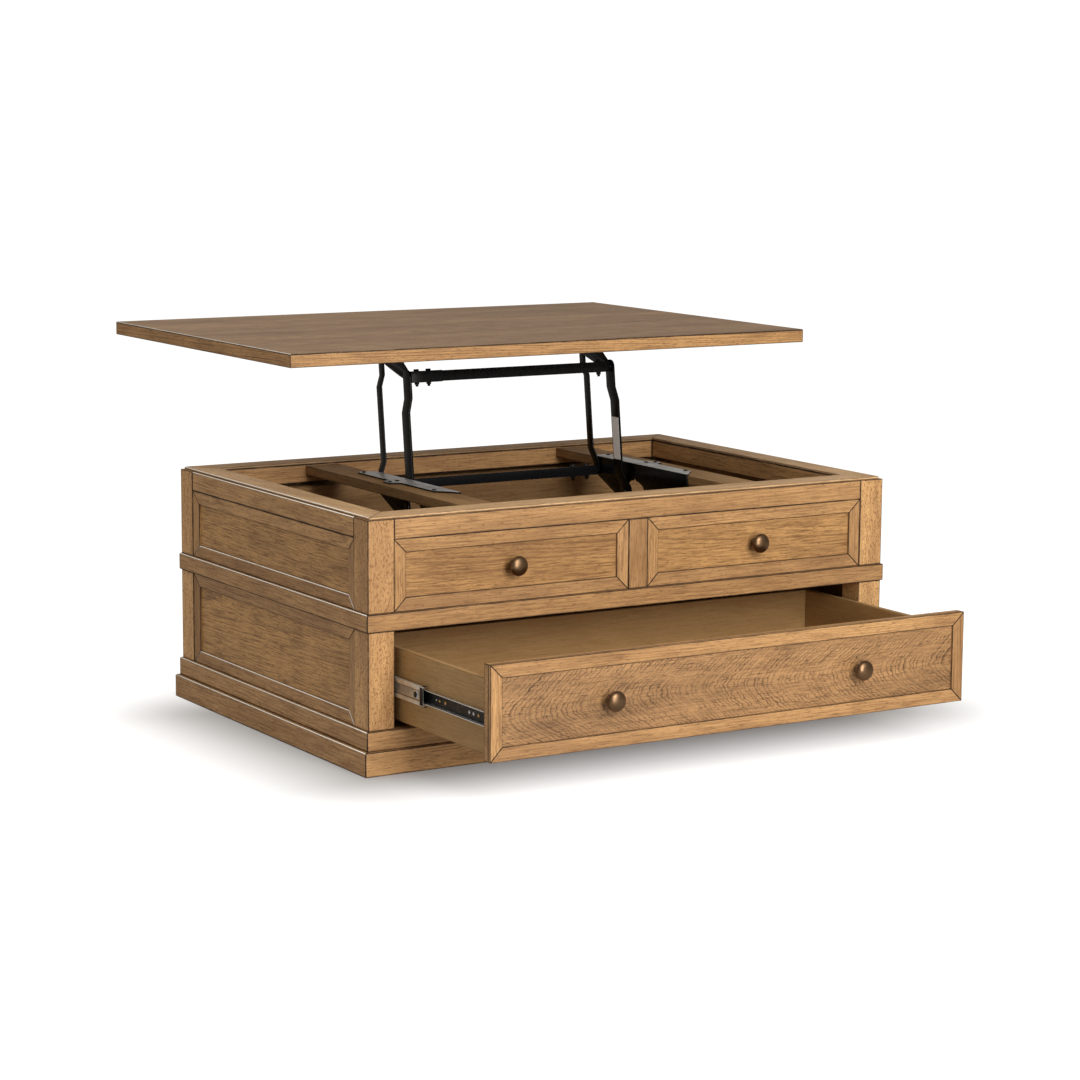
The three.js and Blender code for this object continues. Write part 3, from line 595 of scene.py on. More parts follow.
for side, out in FACES.items():
    low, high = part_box(f"base_board_{side}")
    looks, runs = face_axes(out)
    plinth = timber(f"plinth_{side}", low, shifted(high, z=PLINTH_HEIGHT - SEAM), "rail", grain_of(out),
                    cuts=mitres(low, high, out), worn=highlit_and_worn_sides(out), stands_for=[f"base_board_{side}"])
    low.z = PLINTH_HEIGHT
    low[runs] += MOULDING_SET_BACK
    high[runs] -= MOULDING_SET_BACK
    if out[looks] > 0:
        high[looks] -= MOULDING_SET_BACK
    else:
        low[looks] += MOULDING_SET_BACK
    timber(f"base_moulding_{side}", low, high, "rail", grain_of(out),
           cuts=mitres(low, high, out), worn=highlit_and_worn_sides(out))
print("plinth is", round(plinth.dimensions.x, 3), "m long at the right")

# %% [markdown]
# ## Waist band
# The band runs round the case between its two tiers and stands a few millimetres proud.

# %% Waist band
for side, out in FACES.items():
    low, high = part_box(f"waist_band_{side}")
    timber(f"band_{side}", low, high, "rail", grain_of(out), cuts=mitres(low, high, out),
           worn=highlit_and_worn_sides(out), stands_for=[f"waist_band_{side}"])
print("band is", round((high.z - low.z) / MM, 1), "mm high")

# %% [markdown]
# ## Posts
# Each post is one stick with the band let into it. Above and below the band it shows its
# full section, and behind the band a thinner neck joins the two. The grain of the posts is
# curly, so it shows as speckles rather than lines.

# %% Corner posts
band_low, band_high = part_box("waist_band_front")
NECK_INSET = 17 * MM

for end, outward in (("front", -1), ("back", 1)):
    for side, sign in SIDES.items():
        low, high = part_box(f"post_{end}_{side}")
        timber(f"post_{end}_{side}_upper", shifted(low, z=band_high.z + SEAM), high, "post", "Z",
               stands_for=[f"post_{end}_{side}"])
        timber(f"post_{end}_{side}_lower", low, shifted(high, z=band_low.z - SEAM), "post", "Z")
        neck_low = shifted(low, z=band_low.z)
        neck_high = shifted(high, z=band_high.z)
        if sign < 0:
            neck_low.x += NECK_INSET
        else:
            neck_high.x -= NECK_INSET
        if outward < 0:
            neck_low.y += NECK_INSET
        else:
            neck_high.y -= NECK_INSET
        timber(f"post_{end}_{side}_neck", neck_low, neck_high, "post", "Z")
print("posts are", round((high.x - low.x) / MM, 1), "mm square")

# %% [markdown]
# ## Top rails, rim and centre stile
# The rails join the posts at the top. Inside the case they stand proud of the posts, and
# there they meet in mitres. A thin mitred rim lies on them, under the lid.

# %% Rails, rim and stile
rim_low, rim_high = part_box("top_rim")
rail_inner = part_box("top_rail_front")[1].y
post_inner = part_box("post_front_left")[1].y
RAIL_PROUD = rail_inner - post_inner

for side, out in FACES.items():
    low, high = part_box(f"top_rail_{side}")
    looks, runs = face_axes(out)
    cuts = []
    for end, corner in ((-1, low), (1, high)):
        point, normal = Vector((0, 0, 0)), Vector((0, 0, 0))
        point[runs] = corner[runs]
        point[looks] = (low if out[looks] > 0 else high)[looks] + out[looks] * RAIL_PROUD
        normal[runs] = end
        normal[looks] = -out[looks]
        cuts.append((point, normal))
    timber(f"rail_{side}", low, high, "rail", grain_of(out), cuts=cuts, worn=highlit_and_worn_sides(out),
           stands_for=[f"top_rail_{side}"])

RIM_WIDTH = rail_inner - rim_low.y
for side, out in FACES.items():
    low, high = rim_low.copy(), rim_high.copy()
    looks, runs = face_axes(out)
    if out[looks] > 0:
        low[looks] = high[looks] - RIM_WIDTH
    else:
        high[looks] = low[looks] + RIM_WIDTH
    timber(f"rim_{side}", low, high, "rim", grain_of(out), cuts=mitres(low, high, out),
           worn=highlit_and_worn_sides(out),
           stands_for=["top_rim"] if side == "front" else ())

timber("stile", *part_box("centre_stile"), "rail", "Z", stands_for=["centre_stile"])
print("rim is", round(RIM_WIDTH / MM, 1), "mm wide")


# %% [markdown]
# ## Framed panels
# A framed panel is a core board with a thin field on it and four mitred sticks round the
# field. The sticks slope a little towards the field and then drop to it in a small step,
# which is where the glaze is darkest. One function makes all of them: it is told the
# panel's box and the way that it faces.

# %% Framed panel function
STICK_WIDTH = 26 * MM
FIELD_DEPTH = 5 * MM
STICK_DEPTH = 7 * MM
STICK_SLOPE = 1.4 * MM


def framed_panel(name, low, high, out, field_wood, body="case", field_heart=None, stands_for=()):
    looks, runs = face_axes(out)
    along = Vector((0, 0, 0))
    along[runs] = 1.0
    face = (high if out[looks] > 0 else low)[looks]

    def layer(start, end, edge):
        """The two corners of a layer between two depths, set in from the panel's outline."""
        first, last = low.copy(), high.copy()
        first[looks], last[looks] = sorted((face - out[looks] * start, face - out[looks] * end))
        first += (along + Z) * edge
        last -= (along + Z) * edge
        return first, last

    thickness = high[looks] - low[looks]
    core_wood = "rail" if field_wood == "drawer_field" else "inner"
    timber(f"{name}_core", *layer(STICK_DEPTH, thickness, 0), core_wood, grain_of(out), body,
           stands_for=stands_for)
    timber(f"{name}_field", *layer(FIELD_DEPTH, STICK_DEPTH - 0.1 * MM, STICK_WIDTH - SEAM), field_wood,
           grain_of(out), body, heart=field_heart)

    first, last = layer(0, STICK_DEPTH - 0.1 * MM, 0)
    outer_face = Vector((0, 0, 0))
    outer_face[looks] = face
    places = {
        "bottom": (along, Z, first),
        "top": (along, -Z, last),
        "start": (Z, along, first),
        "end": (Z, -along, last),
    }
    for place, (run, inward, outer) in places.items():
        axis = 2 if inward.z else runs
        stick_low, stick_high = first.copy(), last.copy()
        if inward[axis] > 0:
            stick_high[axis] = stick_low[axis] + STICK_WIDTH
        else:
            stick_low[axis] = stick_high[axis] - STICK_WIDTH
        edge_point = outer_face.copy()
        edge_point[axis] = outer[axis]
        cuts = [(edge_point, out * STICK_WIDTH + inward * STICK_SLOPE)]
        for end, corner in ((-1, first), (1, last)):
            point = edge_point.copy()
            for each in range(3):
                if run[each]:
                    point[each] = corner[each]
            cuts.append((point, run * end + inward))
        grain = "Z" if run.z else grain_of(out)
        # At the sides and back, the bottom stick's upper edge gets a painted highlight.
        worn = (out,) if place == "bottom" and out.y >= 0 else ()
        timber(f"{name}_stick_{place}", stick_low, stick_high, "stick", grain, body, cuts=cuts,
               worn=worn)


print("a stick is", STICK_WIDTH / MM, "mm wide")

# %% [markdown]
# The two false fronts, the four side panels and the back use it. The back is one board that
# shows two framed panels, so its tiers take their heights from the panels beside them.

# %% False fronts, side panels and back
for side in SIDES:
    framed_panel(f"false_{side}", *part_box(f"false_front_{side}"), FACES["front"], "field",
                 stands_for=[f"false_front_{side}"])
    for tier in ("upper", "lower"):
        node_name = f"side_panel_{side}_{tier}"
        framed_panel(f"side_{side}_{tier}", *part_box(node_name), FACES[side], "field",
                     stands_for=[node_name])

back_low, back_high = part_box("back_panel")
for tier in ("upper", "lower"):
    tier_low, tier_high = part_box(f"side_panel_left_{tier}")
    framed_panel(f"back_{tier}", shifted(back_low, z=tier_low.z), shifted(back_high, z=tier_high.z),
                 FACES["back"], "field", stands_for=["back_panel"] if tier == "upper" else ())


# %% [markdown]
# ## Inside the case
# The floor of the storage space is notched round the posts, so it starts as a copy of its
# frame piece. A frame mesh is loose triangles, so the copy's doubles are merged and its flat
# areas are dissolved into single faces before the edges are eased.

# %% A copy of a frame piece
def merged_copy(name, node_name):
    piece = bpy.data.objects.new(name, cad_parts[node_name].data.copy())
    bpy.context.scene.collection.objects.link(piece)
    piece.data.materials.clear()
    for attribute in [layer.name for layer in piece.data.attributes if layer.name.startswith("custom")]:
        piece.data.attributes.remove(piece.data.attributes[attribute])
    with editing(piece):
        bpy.ops.mesh.remove_doubles(threshold=0.002 * MM)
        bpy.ops.mesh.dissolve_limited(angle_limit=math.radians(0.5))
    return piece


storage_floor = merged_copy("storage_floor", "compartment_floor")
ease_edges(storage_floor, 0.5 * MM, 2 * MM)
lay_grain(storage_floor, "X")
note(storage_floor, "rub", [0.0] * len(storage_floor.data.polygons), domain="FACE")
storage_floor.data.materials.append(WOODS["inner"])
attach(storage_floor, "case")
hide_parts("compartment_floor")
print("storage floor has", len(storage_floor.data.polygons), "faces")

# %% Plain inside boards
INSIDE = {
    "compartment_back": "X",
    "case_bottom": "X",
    "slide_cleat_left": "Y",
    "slide_cleat_right": "Y",
    "lift_slat_left": "Y",
    "lift_slat_right": "Y",
}
for node_name, grain in INSIDE.items():
    timber(f"{node_name}_board", *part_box(node_name), "inner", grain, stands_for=[node_name])
print(len(INSIDE), "inside boards")

# %% [markdown]
# ## Lid
# The lid is a core with solid edges mitred round it, under one sheet of veneer. The veneer's
# joint shows as a dark line just below the top. Its veneer is a quiet, greyer brown, and the
# solid edges are lighter, with the rings running along them.

# %% Lid
VENEER = 1.6 * MM
LIPPING = 24 * MM
low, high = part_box("lid")
veneer_joint = high.z - VENEER
# The veneer's left, right and back edges get a painted highlight, down its thin sides as well.
timber("lid_veneer_sheet", shifted(low, z=veneer_joint), high, "lid_top", "X", "lid",
       worn=(-X, X, Y), down_to=-0.1, stands_for=["lid"])
for side, out in FACES.items():
    looks, runs = face_axes(out)
    edge_low, edge_high = low.copy(), shifted(high, z=veneer_joint - 0.05 * MM)
    if out[looks] > 0:
        edge_low[looks] = edge_high[looks] - LIPPING
    else:
        edge_high[looks] = edge_low[looks] + LIPPING
    timber(f"lid_edge_{side}", edge_low, edge_high, "lid_edge", grain_of(out), "lid",
           cuts=mitres(edge_low, edge_high, out), soften=0.5 * MM)
inside = Vector((LIPPING + SEAM, LIPPING + SEAM, 0))
timber("lid_core", low + inside, shifted(high, z=veneer_joint - 0.05 * MM) - inside, "inner", "X", "lid")
print("lid is", [round(part, 3) for part in high - low])

# %% [markdown]
# ## Drawer
# The drawer front is a framed panel whose field was cut near the heart, so it shows tall
# arches along its whole length. The box behind it is a smoother, sealed wood.

# %% Drawer
drawer_low, drawer_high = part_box("drawer_front")
framed_panel("drawer_face", drawer_low, drawer_high, FACES["front"], "drawer_field", "drawer",
             field_heart=(1.2, 0.004, 0.0), stands_for=["drawer_front"])
DRAWER_BOARDS = {
    "drawer_side_left": "Y",
    "drawer_side_right": "Y",
    "drawer_back": "X",
    "drawer_bottom": "X",
}
for node_name, grain in DRAWER_BOARDS.items():
    timber(f"{node_name}_board", *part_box(node_name), "drawer_box", grain, "drawer",
           stands_for=[node_name])
print("drawer is", round(drawer_high.x - drawer_low.x, 3), "m wide")

# %% [markdown]
# ## Metal finishes
# Three metals show. The lift is black powder coat, which has a fine orange peel and is a
# little lighter where it was rubbed on its edges. The slides and springs are zinc plated,
# with a cloudy, drawn surface. The knobs are antique bronze with a clouded tone.
# The tops of the brackets' flanges are painted pale grey, a painted sheen of the glossy black coat.

# %% Speckle group shared by the metals
tree, given, put_out = new_group(
    "metal_surface",
    {"Place": (VECTOR, None), "Stretch": (VECTOR, (1, 1, 1)), "Size": (FLOAT, 400.0)},
    ("Peel", "Cloud"),
)
drawn = vectors(tree, "MULTIPLY", given.outputs["Place"], given.outputs["Stretch"])
peel = noise(tree, drawn, given.outputs["Size"], 2)
haze = noise(tree, given.outputs["Place"], 45.0, 3)
tree.links.new(peel, put_out.inputs["Peel"])
tree.links.new(haze, put_out.inputs["Cloud"])
metal_surface = tree
print("metal surface has", len(tree.nodes), "nodes")


# %% Metal materials
def metal(name, base, worn, metallic, gloss, stretch=(1, 1, 1), size=400.0, bump=0.1, shine=0.5,
          haze_depth=0.25):
    """A coated or bare metal. worn is its colour on rounded edges."""
    finish = bpy.data.materials.new(name)
    finish.use_nodes = True
    tree = finish.node_tree
    shader = tree.nodes["Principled BSDF"]
    place = node(tree, "ShaderNodeTexCoord").outputs["Object"]
    edge = node(tree, "ShaderNodeAttribute", attribute_name="edge").outputs["Fac"]
    surface = node(tree, "ShaderNodeGroup", node_tree=metal_surface)
    tree.links.new(place, surface.inputs["Place"])
    surface.inputs["Stretch"].default_value = stretch
    surface.inputs["Size"].default_value = size
    peel, haze = surface.outputs["Peel"], surface.outputs["Cloud"]
    dull = tuple(part * (1 - haze_depth) for part in base[:3]) + (1.0,)
    colour = mix(tree, spread(tree, haze, 0.35, 0.65), base, dull)
    rubbed_and_highlit = maths(tree, "MULTIPLY", edge, spread(tree, peel, 0.35, 0.6, 0.3, 0.9))
    colour = mix(tree, rubbed_and_highlit, colour, worn)
    tree.links.new(colour, shader.inputs["Base Color"])
    tree.links.new(spread(tree, haze, 0.3, 0.7, gloss - 0.05, gloss + 0.09), shader.inputs["Roughness"])
    dent = node(tree, "ShaderNodeBump", {"Height": peel, "Strength": bump, "Distance": 0.1 * MM})
    tree.links.new(dent.outputs[0], shader.inputs["Normal"])
    shader.inputs["Metallic"].default_value = metallic
    shader.inputs["Specular IOR Level"].default_value = shine
    return finish


METALS = {
    "black": (metal("black_powder_coat", paint(8, 8, 9), paint(30, 30, 32), 0.0, 0.24, bump=0.14,
                    shine=0.14), "black_steel"),
    "flange": (metal("bright_flange", paint(196, 198, 200), paint(236, 238, 240), 0.45, 0.34),
               "black_steel"),
    "zinc": (metal("zinc_plate", paint(208, 202, 190), paint(244, 244, 240), 0.7, 0.32,
                   stretch=(1, 0.05, 1), size=600.0, bump=0.05), "zinc_steel"),
    "silver": (metal("bright_zinc", paint(206, 210, 214), paint(240, 242, 244), 1.0, 0.26,
                     stretch=(1, 0.05, 1), size=600.0, bump=0.05), "zinc_steel"),
    "channel_shade_zinc": (metal("dark_slide_web", paint(26, 28, 32), paint(70, 72, 76), 0.3, 0.4,
                        stretch=(1, 0.05, 1), size=600.0, bump=0.05, shine=0.2), "zinc_steel"),
    "bronze": (metal("antique_bronze", paint(116, 92, 70), paint(150, 122, 88), 1.0, 0.33, size=260.0,
                     bump=0.14), "bronze"),
    "brass": (metal("rivet_brass", paint(206, 168, 104), paint(236, 210, 150), 1.0, 0.3), "zinc_steel"),
    "plastic": (metal("bumper_plastic", paint(12, 12, 13), paint(34, 34, 36), 0.0, 0.45, shine=0.2),
                "black_steel"),
    "label": (metal("plain_label", paint(254, 254, 254), paint(254, 254, 254), 0.0, 0.3,
                    haze_depth=0.02), "black_steel"),
}


def coat(piece, metal_name, body, stands_for=()):
    """Give a finished metal piece its material and its body."""
    material, slot = METALS[metal_name]
    piece.data.materials.clear()
    piece.data.materials.append(material)
    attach(piece, body)
    if stands_for:
        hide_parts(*stands_for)
    return piece


print(len(METALS), "metals")


# %% [markdown]
# ## Pressed steel
# The brackets, arms, crossbars and slides already have their shape in the frame. What they
# lack is the small radius that a press leaves on every edge, and that radius is what catches
# the light. So each is a merged copy with its sharp edges bevelled, and the new faces are
# noted for the worn paint.

# %% Steel pieces
SHARP = math.radians(35)


def stamp(piece, outward, margin, depth):
    """Press a channel into the widest face that looks outward."""
    facing = [face for face in piece.data.polygons if face.normal.dot(outward) > 0.99]
    widest = max(facing, key=lambda face: face.area).index
    select_faces(piece, lambda face: face.index == widest)
    bpy.ops.object.mode_set(mode="EDIT")
    bpy.ops.mesh.inset(thickness=margin)
    bpy.ops.mesh.inset(thickness=1.5 * depth)
    bpy.ops.transform.translate(value=-outward * depth)
    bpy.ops.object.mode_set(mode="OBJECT")


def second_finish(piece, metal_name, chosen):
    """Give the faces that chosen picks another metal."""
    piece.data.materials.append(METALS[metal_name][0])
    for face in piece.data.polygons:
        if chosen(face):
            face.material_index = 1


def pressed(name, node_name, radius, channel=None, channel_margin=0):
    piece = merged_copy(name, node_name)
    if channel:
        stamp(piece, channel, channel_margin, 0.8 * MM)
    with editing(piece, "EDGE", "DESELECT"):
        bpy.ops.mesh.edges_select_sharp(sharpness=SHARP)
        bpy.ops.mesh.bevel(offset=radius, segments=2, affect="EDGES", clamp_overlap=True)
    note(piece, "edge", [float(face.select) for face in piece.data.polygons], domain="FACE")
    bpy.ops.object.shade_smooth_by_angle(angle=SHARP)
    return piece


LIFT = {
    "lift_bracket_left": "case",
    "lift_bracket_right": "case",
    "front_arm_left": "front_arms",
    "front_arm_right": "front_arms",
    "upper_crossbar": "front_arms",
    "rear_arm_left": "rear_arms",
    "rear_arm_right": "rear_arms",
    "lower_crossbar": "rear_arms",
    "lid_bracket_left": "lid",
    "lid_bracket_right": "lid",
}
for node_name, body in LIFT.items():
    steel = coat(pressed(f"{node_name}_steel", node_name, 0.7 * MM), "black", body, [node_name])
    # The flange's top faces take a pale grey: a painted sheen, for the white studio mirrored by the
    # glossy black coat at a grazing angle.
    if node_name.startswith("lift_bracket"):
        flange_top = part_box(node_name)[1].z - 0.5 * MM
        second_finish(steel, "flange", lambda face: face.normal.z > 0.9 and face.center.z > flange_top)

SLIDES = {
    "cabinet": ("case", "silver"),
    "middle": ("slide_members", "zinc"),
    "drawer": ("drawer", "silver"),
}
for member, (body, metal_name) in SLIDES.items():
    for side, sign in SIDES.items():
        node_name = f"slide_{member}_{side}"
        low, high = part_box(node_name)
        middle_z, half = (low.z + high.z) / 2, (high.z - low.z) / 2
        channel = X * sign if member != "cabinet" else None
        margin = 8 * MM if member == "middle" else 3.4 * MM
        steel = pressed(f"{node_name}_steel", node_name, 0.2 * MM, channel, margin)
        coat(steel, metal_name, body, [node_name])
        # Inside the pressed channels the zinc is painted dark: painted shade on the drawer member's
        # outer web and on the middle member's channel walls.
        if member == "drawer":
            inside = half - 3.0 * MM
            second_finish(steel, "channel_shade_zinc", lambda face: face.normal.x * sign > 0.2
                          and abs(face.center.z - middle_z) < inside)
        if member == "middle":
            inside = half - 7 * MM
            second_finish(steel, "channel_shade_zinc", lambda face: abs(face.normal.z) > 0.3
                          and abs(face.center.z - middle_z) < inside)


# %% [markdown]
# ## Turned pieces
# A knob is turned on a lathe. The same can be done with a circle: extrude its edge, move the
# new ring outwards along the axis, and resize it to the next radius, ring by ring. The first
# and last rings are small and closed with a face. Screws and rivets are made the same way.

# %% Lathe function
def turned(name, profile, place, axis, sides=48):
    """A piece turned from (radius, height) pairs, standing at place along axis."""
    bpy.ops.object.select_all(action="DESELECT")
    bpy.ops.mesh.primitive_circle_add(vertices=sides, radius=profile[0][0], fill_type="NGON")
    piece = bpy.context.object
    piece.name = name
    with editing(piece):
        for (radius, height), (next_radius, next_height) in zip(profile, profile[1:]):
            rise = (0, 0, next_height - height)
            bpy.ops.mesh.extrude_region_move(TRANSFORM_OT_translate={"value": rise})
            ratio = next_radius / radius
            bpy.ops.transform.resize(value=(ratio, ratio, 1), center_override=(0, 0, next_height))
    face_outwards(piece)
    piece.matrix_world = Matrix.Translation(place) @ axis.to_track_quat("Z", "Y").to_matrix().to_4x4()
    bpy.ops.object.transform_apply(location=True, rotation=True, scale=True)
    bpy.ops.object.shade_smooth_by_angle(angle=math.radians(50))
    note(piece, "edge", [0.0] * len(piece.data.vertices))
    return piece


def round_over(radius, start, end, steps):
    """Profile points of a quarter round, from the full radius at start to the middle at end."""
    turns = [math.pi / 2 * step / steps for step in range(steps + 1)]
    points = [(radius * math.cos(turn), start + (end - start) * math.sin(turn)) for turn in turns]
    points[-1] = (0.3 * MM, end)
    return points


print("a dome of 4 steps:", [(round(r, 2), round(h, 2)) for r, h in round_over(1, 0, 1, 4)])

# %% [markdown]
# Each bracket is held to its slat by four black screws, through the holes in its flange. A
# screw is a low dome with a hollow for the driver.

# %% Bracket screws
SCREW_PLACES = ((32.5, 56.0), (33.5, 206.4), (31.5, 353.0), (53.6, 201.4))
screw_profile = [
    (0.8 * MM, -0.6 * MM),
    (1.6 * MM, -0.4 * MM),
    (2.0 * MM, 0.9 * MM),
    (3.2 * MM, 1.1 * MM),
    (4.6 * MM, 0.6 * MM),
    (4.9 * MM, 0.02 * MM),
    (3.3 * MM, 0.02 * MM),
    (3.2 * MM, -3.0 * MM),
    (0.3 * MM, -3.0 * MM),
]
for side, sign in SIDES.items():
    low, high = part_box(f"lift_bracket_{side}")
    inner_x = low.x if sign > 0 else high.x
    for count, (across, back) in enumerate(SCREW_PLACES):
        seat = Vector((inner_x + sign * across * MM, low.y + back * MM, high.z))
        screw = turned(f"bracket_screw_{side}_{count + 1}", screw_profile, seat, Z, sides=20)
        coat(screw, "black", "case")
print("screw heads are", 2 * 4.9, "mm wide")

# %% [markdown]
# ## Slide fittings
# Each slide has a black plastic stop at the front of its middle member, with two claws round
# the member's edges. The drawer member is punched: two rivets and three screws show along
# it. A round hole on the middle member is a black disc in a bright ring: painted shade for the hole.

# %% Slide fittings
STOP_LENGTH = 11 * MM
HOLE_SETBACK = 28 * MM
TAB_START, TAB_END = 39 * MM, 44 * MM
# Each rivet has its share of the way to the drawer front, its radius in mm, and its metal.
RIVETS = (
    (0.15, 1.9, "silver"),
    (0.205, 2.7, "brass"),
    (0.30, 3.3, "brass"),
    (0.70, 3.3, "silver"),
    (0.77, 3.3, "silver"),
    (0.85, 3.3, "brass"),
)


def fitting(name, low, high, metal_name, body):
    piece = slab(name, low, high)
    size = min(b - a for a, b in zip(low, high))
    ease_edges(piece, size / 4, size / 8)
    return coat(piece, metal_name, body)


def disc(name, radius, place, axis, metal_name, body):
    """A thin round piece standing at place along axis."""
    middle, rounded = 0.3 * MM, radius - 0.3 * MM
    top = [(radius, 0.35 * MM), (rounded, 0.6 * MM), (middle, 0.62 * MM)]
    profile = [(middle, 0), (radius, 0), *top]
    return coat(turned(name, profile, place, axis, sides=24), metal_name, body)


for side, sign in SIDES.items():
    low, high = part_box(f"slide_middle_{side}")
    web_x, flange_x = (high.x, low.x) if sign > 0 else (low.x, high.x)
    inner = sorted((web_x - sign * 1.3 * MM, flange_x))
    outer = sorted((web_x + sign * 0.6 * MM, web_x + sign * 0.02 * MM))
    for label, start, end in (("top", high.z + 0.05 * MM, high.z + 1.6 * MM),
                              ("bottom", low.z - 1.6 * MM, low.z - 0.05 * MM)):
        fitting(f"slide_stop_{label}_{side}", (inner[0], low.y - 2 * MM, start),
                (inner[1], low.y + 5 * MM, end), "plastic", "slide_members")
    fitting(f"slide_stop_{side}", (outer[0], low.y - 1 * MM, low.z + 1 * MM),
            (outer[1], low.y + STOP_LENGTH, high.z - 1 * MM), "plastic", "slide_members")
    centre_z = (low.z + high.z) / 2
    channel_floor = web_x - sign * 0.8 * MM
    hole = Vector((channel_floor, low.y + HOLE_SETBACK, centre_z))
    # The hole is not cut: a black disc stands for its dark inside, as painted shade.
    disc(f"slide_hole_rim_{side}", 8.4 * MM, hole, X * sign, "silver", "slide_members")
    disc(f"slide_hole_{side}", 6 * MM, hole + X * sign * 0.4 * MM, X * sign, "plastic", "slide_members")
    tab = sorted((channel_floor, channel_floor + sign * 0.7 * MM))
    fitting(f"slide_tab_{side}", (tab[0], low.y + TAB_START, centre_z - 4 * MM),
            (tab[1], low.y + TAB_END, centre_z + 4 * MM), "silver", "slide_members")

    drawer_low, drawer_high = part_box(f"slide_drawer_{side}")
    web = (drawer_low.x if sign > 0 else drawer_high.x) + sign * 0.4 * MM
    back_of_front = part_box("drawer_front")[1].y
    for count, (share, radius, metal_name) in enumerate(RIVETS, 1):
        along = low.y + share * (back_of_front - low.y)
        disc(f"slide_rivet_{side}_{count}", radius * MM, Vector((web, along, centre_z)), X * sign,
             metal_name, "drawer")
print("a slide stop is", STOP_LENGTH / MM, "mm long")

# %% [markdown]
# ## Plain sticker
# The right front arm carries a small pale sticker, left blank here. It is a thin slice of
# the arm itself: a copy is sawn to length and only its left face is kept, a hair proud.

# %% Sticker on the right arm
STICKER_BOTTOM, STICKER_TOP = 0.488, 0.582
STICKER_MARGIN = 2.4 * MM
STICKER_THICKNESS = 0.25 * MM

sticker = merged_copy("arm_sticker", "front_arm_right")
saw(sticker, [(Z * STICKER_BOTTOM, -Z), (Z * STICKER_TOP, Z)])
select_faces(sticker, lambda face: face.normal.x > -0.99)
bpy.ops.object.mode_set(mode="EDIT")
bpy.ops.mesh.delete(type="FACE")
bpy.ops.object.mode_set(mode="OBJECT")
with editing(sticker):
    bpy.ops.mesh.inset(thickness=STICKER_MARGIN)
    bpy.ops.mesh.select_all(action="INVERT")
    bpy.ops.mesh.delete(type="FACE")
    bpy.ops.mesh.select_all(action="SELECT")
    bpy.ops.mesh.extrude_region_move(TRANSFORM_OT_translate={"value": (-STICKER_THICKNESS, 0, 0)})
face_outwards(sticker)
note(sticker, "edge", [0.0] * len(sticker.data.vertices))
coat(sticker, "label", "front_arms")
print("sticker is", [round(part / MM, 1) for part in sticker.dimensions])

# %% [markdown]
# ## Knobs
# The four knobs are mushrooms of antique bronze, with a small foot, a thin neck and a low
# dome that is widest near its back.

# %% Knobs
KNOB_LENGTH = 32 * MM
KNOB_RADIUS = 19.5 * MM
WIDEST = KNOB_LENGTH - 9.5 * MM
HEAD_START = 15 * MM
STEM = 4.6 * MM
under = [
    (STEM + (KNOB_RADIUS - STEM) * math.sin(turn), WIDEST - (WIDEST - HEAD_START) * math.cos(turn))
    for turn in (math.pi / 2 * step / 6 for step in range(1, 6))
]
knob_profile = [
    (8.5 * MM, 0),
    (8.5 * MM, 1.4 * MM),
    (7.8 * MM, 2.2 * MM),
    (5.4 * MM, 3.4 * MM),
    (4.6 * MM, 5.6 * MM),
    (4.4 * MM, 10 * MM),
    (STEM, HEAD_START),
    *under,
    *round_over(KNOB_RADIUS, WIDEST, KNOB_LENGTH, 9),
]
for row, body in (("upper", "case"), ("drawer", "drawer")):
    for side in SIDES:
        low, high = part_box(f"knob_{row}_{side}")
        foot = Vector(((low.x + high.x) / 2, high.y, (low.z + high.z) / 2))
        knob = turned(f"{row}_knob_{side}", knob_profile, foot, -Y)
        coat(knob, "bronze", body, [f"knob_{row}_{side}"])
print("a knob has", len(knob.data.polygons), "faces")

# %% [markdown]
# ## Springs
# Each lift spring is a coil of round wire. A small circle is drawn at the coil's radius, and
# the Screw modifier carries it round and along the axis. Two pegs hook it to the bracket.

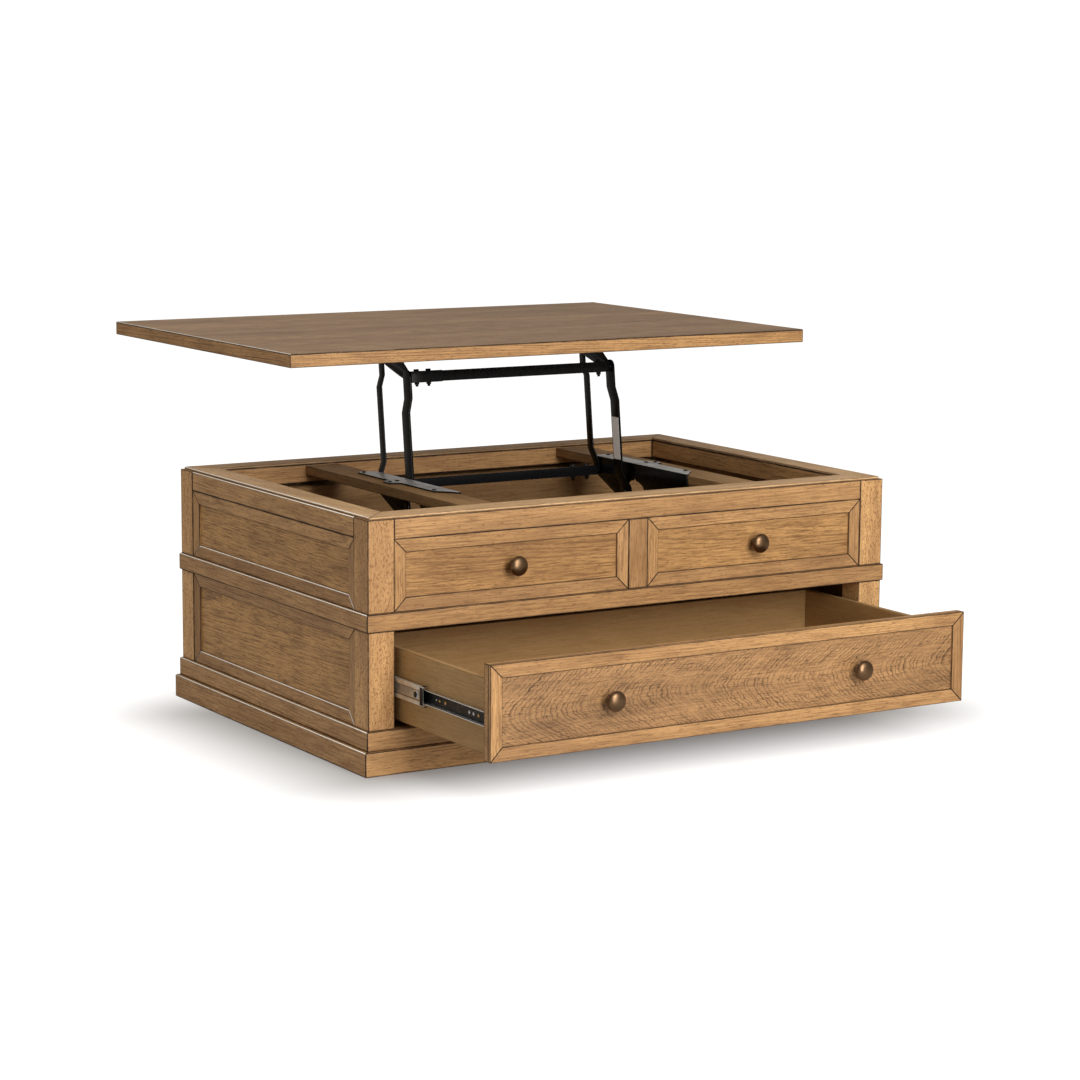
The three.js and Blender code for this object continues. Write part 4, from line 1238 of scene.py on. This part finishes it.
# %% Springs
WIRE = 1.0 * MM
PITCH_LENGTH = 2.6 * MM

for side, sign in SIDES.items():
    low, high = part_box(f"lift_spring_{side}")
    radius = (high.z - low.z) / 2
    axis_x = high.x - radius if sign > 0 else low.x + radius
    plate_x = low.x if sign > 0 else high.x
    axis_z = (low.z + high.z) / 2
    bpy.ops.object.select_all(action="DESELECT")
    bpy.ops.mesh.primitive_circle_add(vertices=8, radius=WIRE, rotation=(math.pi / 2, 0, 0),
                                      location=(radius - WIRE, 0, 0))
    spring = bpy.context.object
    spring.name = f"spring_coil_{side}"
    bpy.ops.object.transform_apply(location=True, rotation=True, scale=True)
    turns = int((high.y - low.y - 2 * WIRE) / PITCH_LENGTH)
    screw = spring.modifiers.new("coil", "SCREW")
    screw.axis = "Z"
    screw.angle = math.tau * turns
    screw.screw_offset = PITCH_LENGTH * turns
    screw.steps = 14 * turns
    screw.render_steps = 14 * turns
    bpy.ops.object.modifier_apply(modifier="coil")
    with editing(spring, "EDGE", "DESELECT"):
        bpy.ops.mesh.select_non_manifold()
        bpy.ops.mesh.fill_holes(sides=0)
    face_outwards(spring)
    place = Vector((axis_x, low.y + WIRE, axis_z))
    spring.matrix_world = Matrix.Translation(place) @ Y.to_track_quat("Z", "Y").to_matrix().to_4x4()
    bpy.ops.object.transform_apply(location=True, rotation=True, scale=True)
    bpy.ops.object.shade_smooth_by_angle(angle=math.radians(60))
    note(spring, "edge", [0.0] * len(spring.data.vertices))
    coat(spring, "zinc", "case", [f"lift_spring_{side}"])
    reach = abs(axis_x - plate_x)
    peg_profile = [(0.3 * MM, 0), (WIRE, 0), (WIRE, reach), *round_over(WIRE, reach, reach + WIRE, 4)]
    for end, y in (("front", low.y + 2 * WIRE), ("back", high.y - 2 * WIRE)):
        peg_foot = Vector((plate_x, y, axis_z))
        peg = turned(f"spring_peg_{end}_{side}", peg_profile, peg_foot, X * sign, sides=16)
        coat(peg, "zinc", "case")
print("a spring has", turns, "turns and", len(spring.data.polygons), "faces")
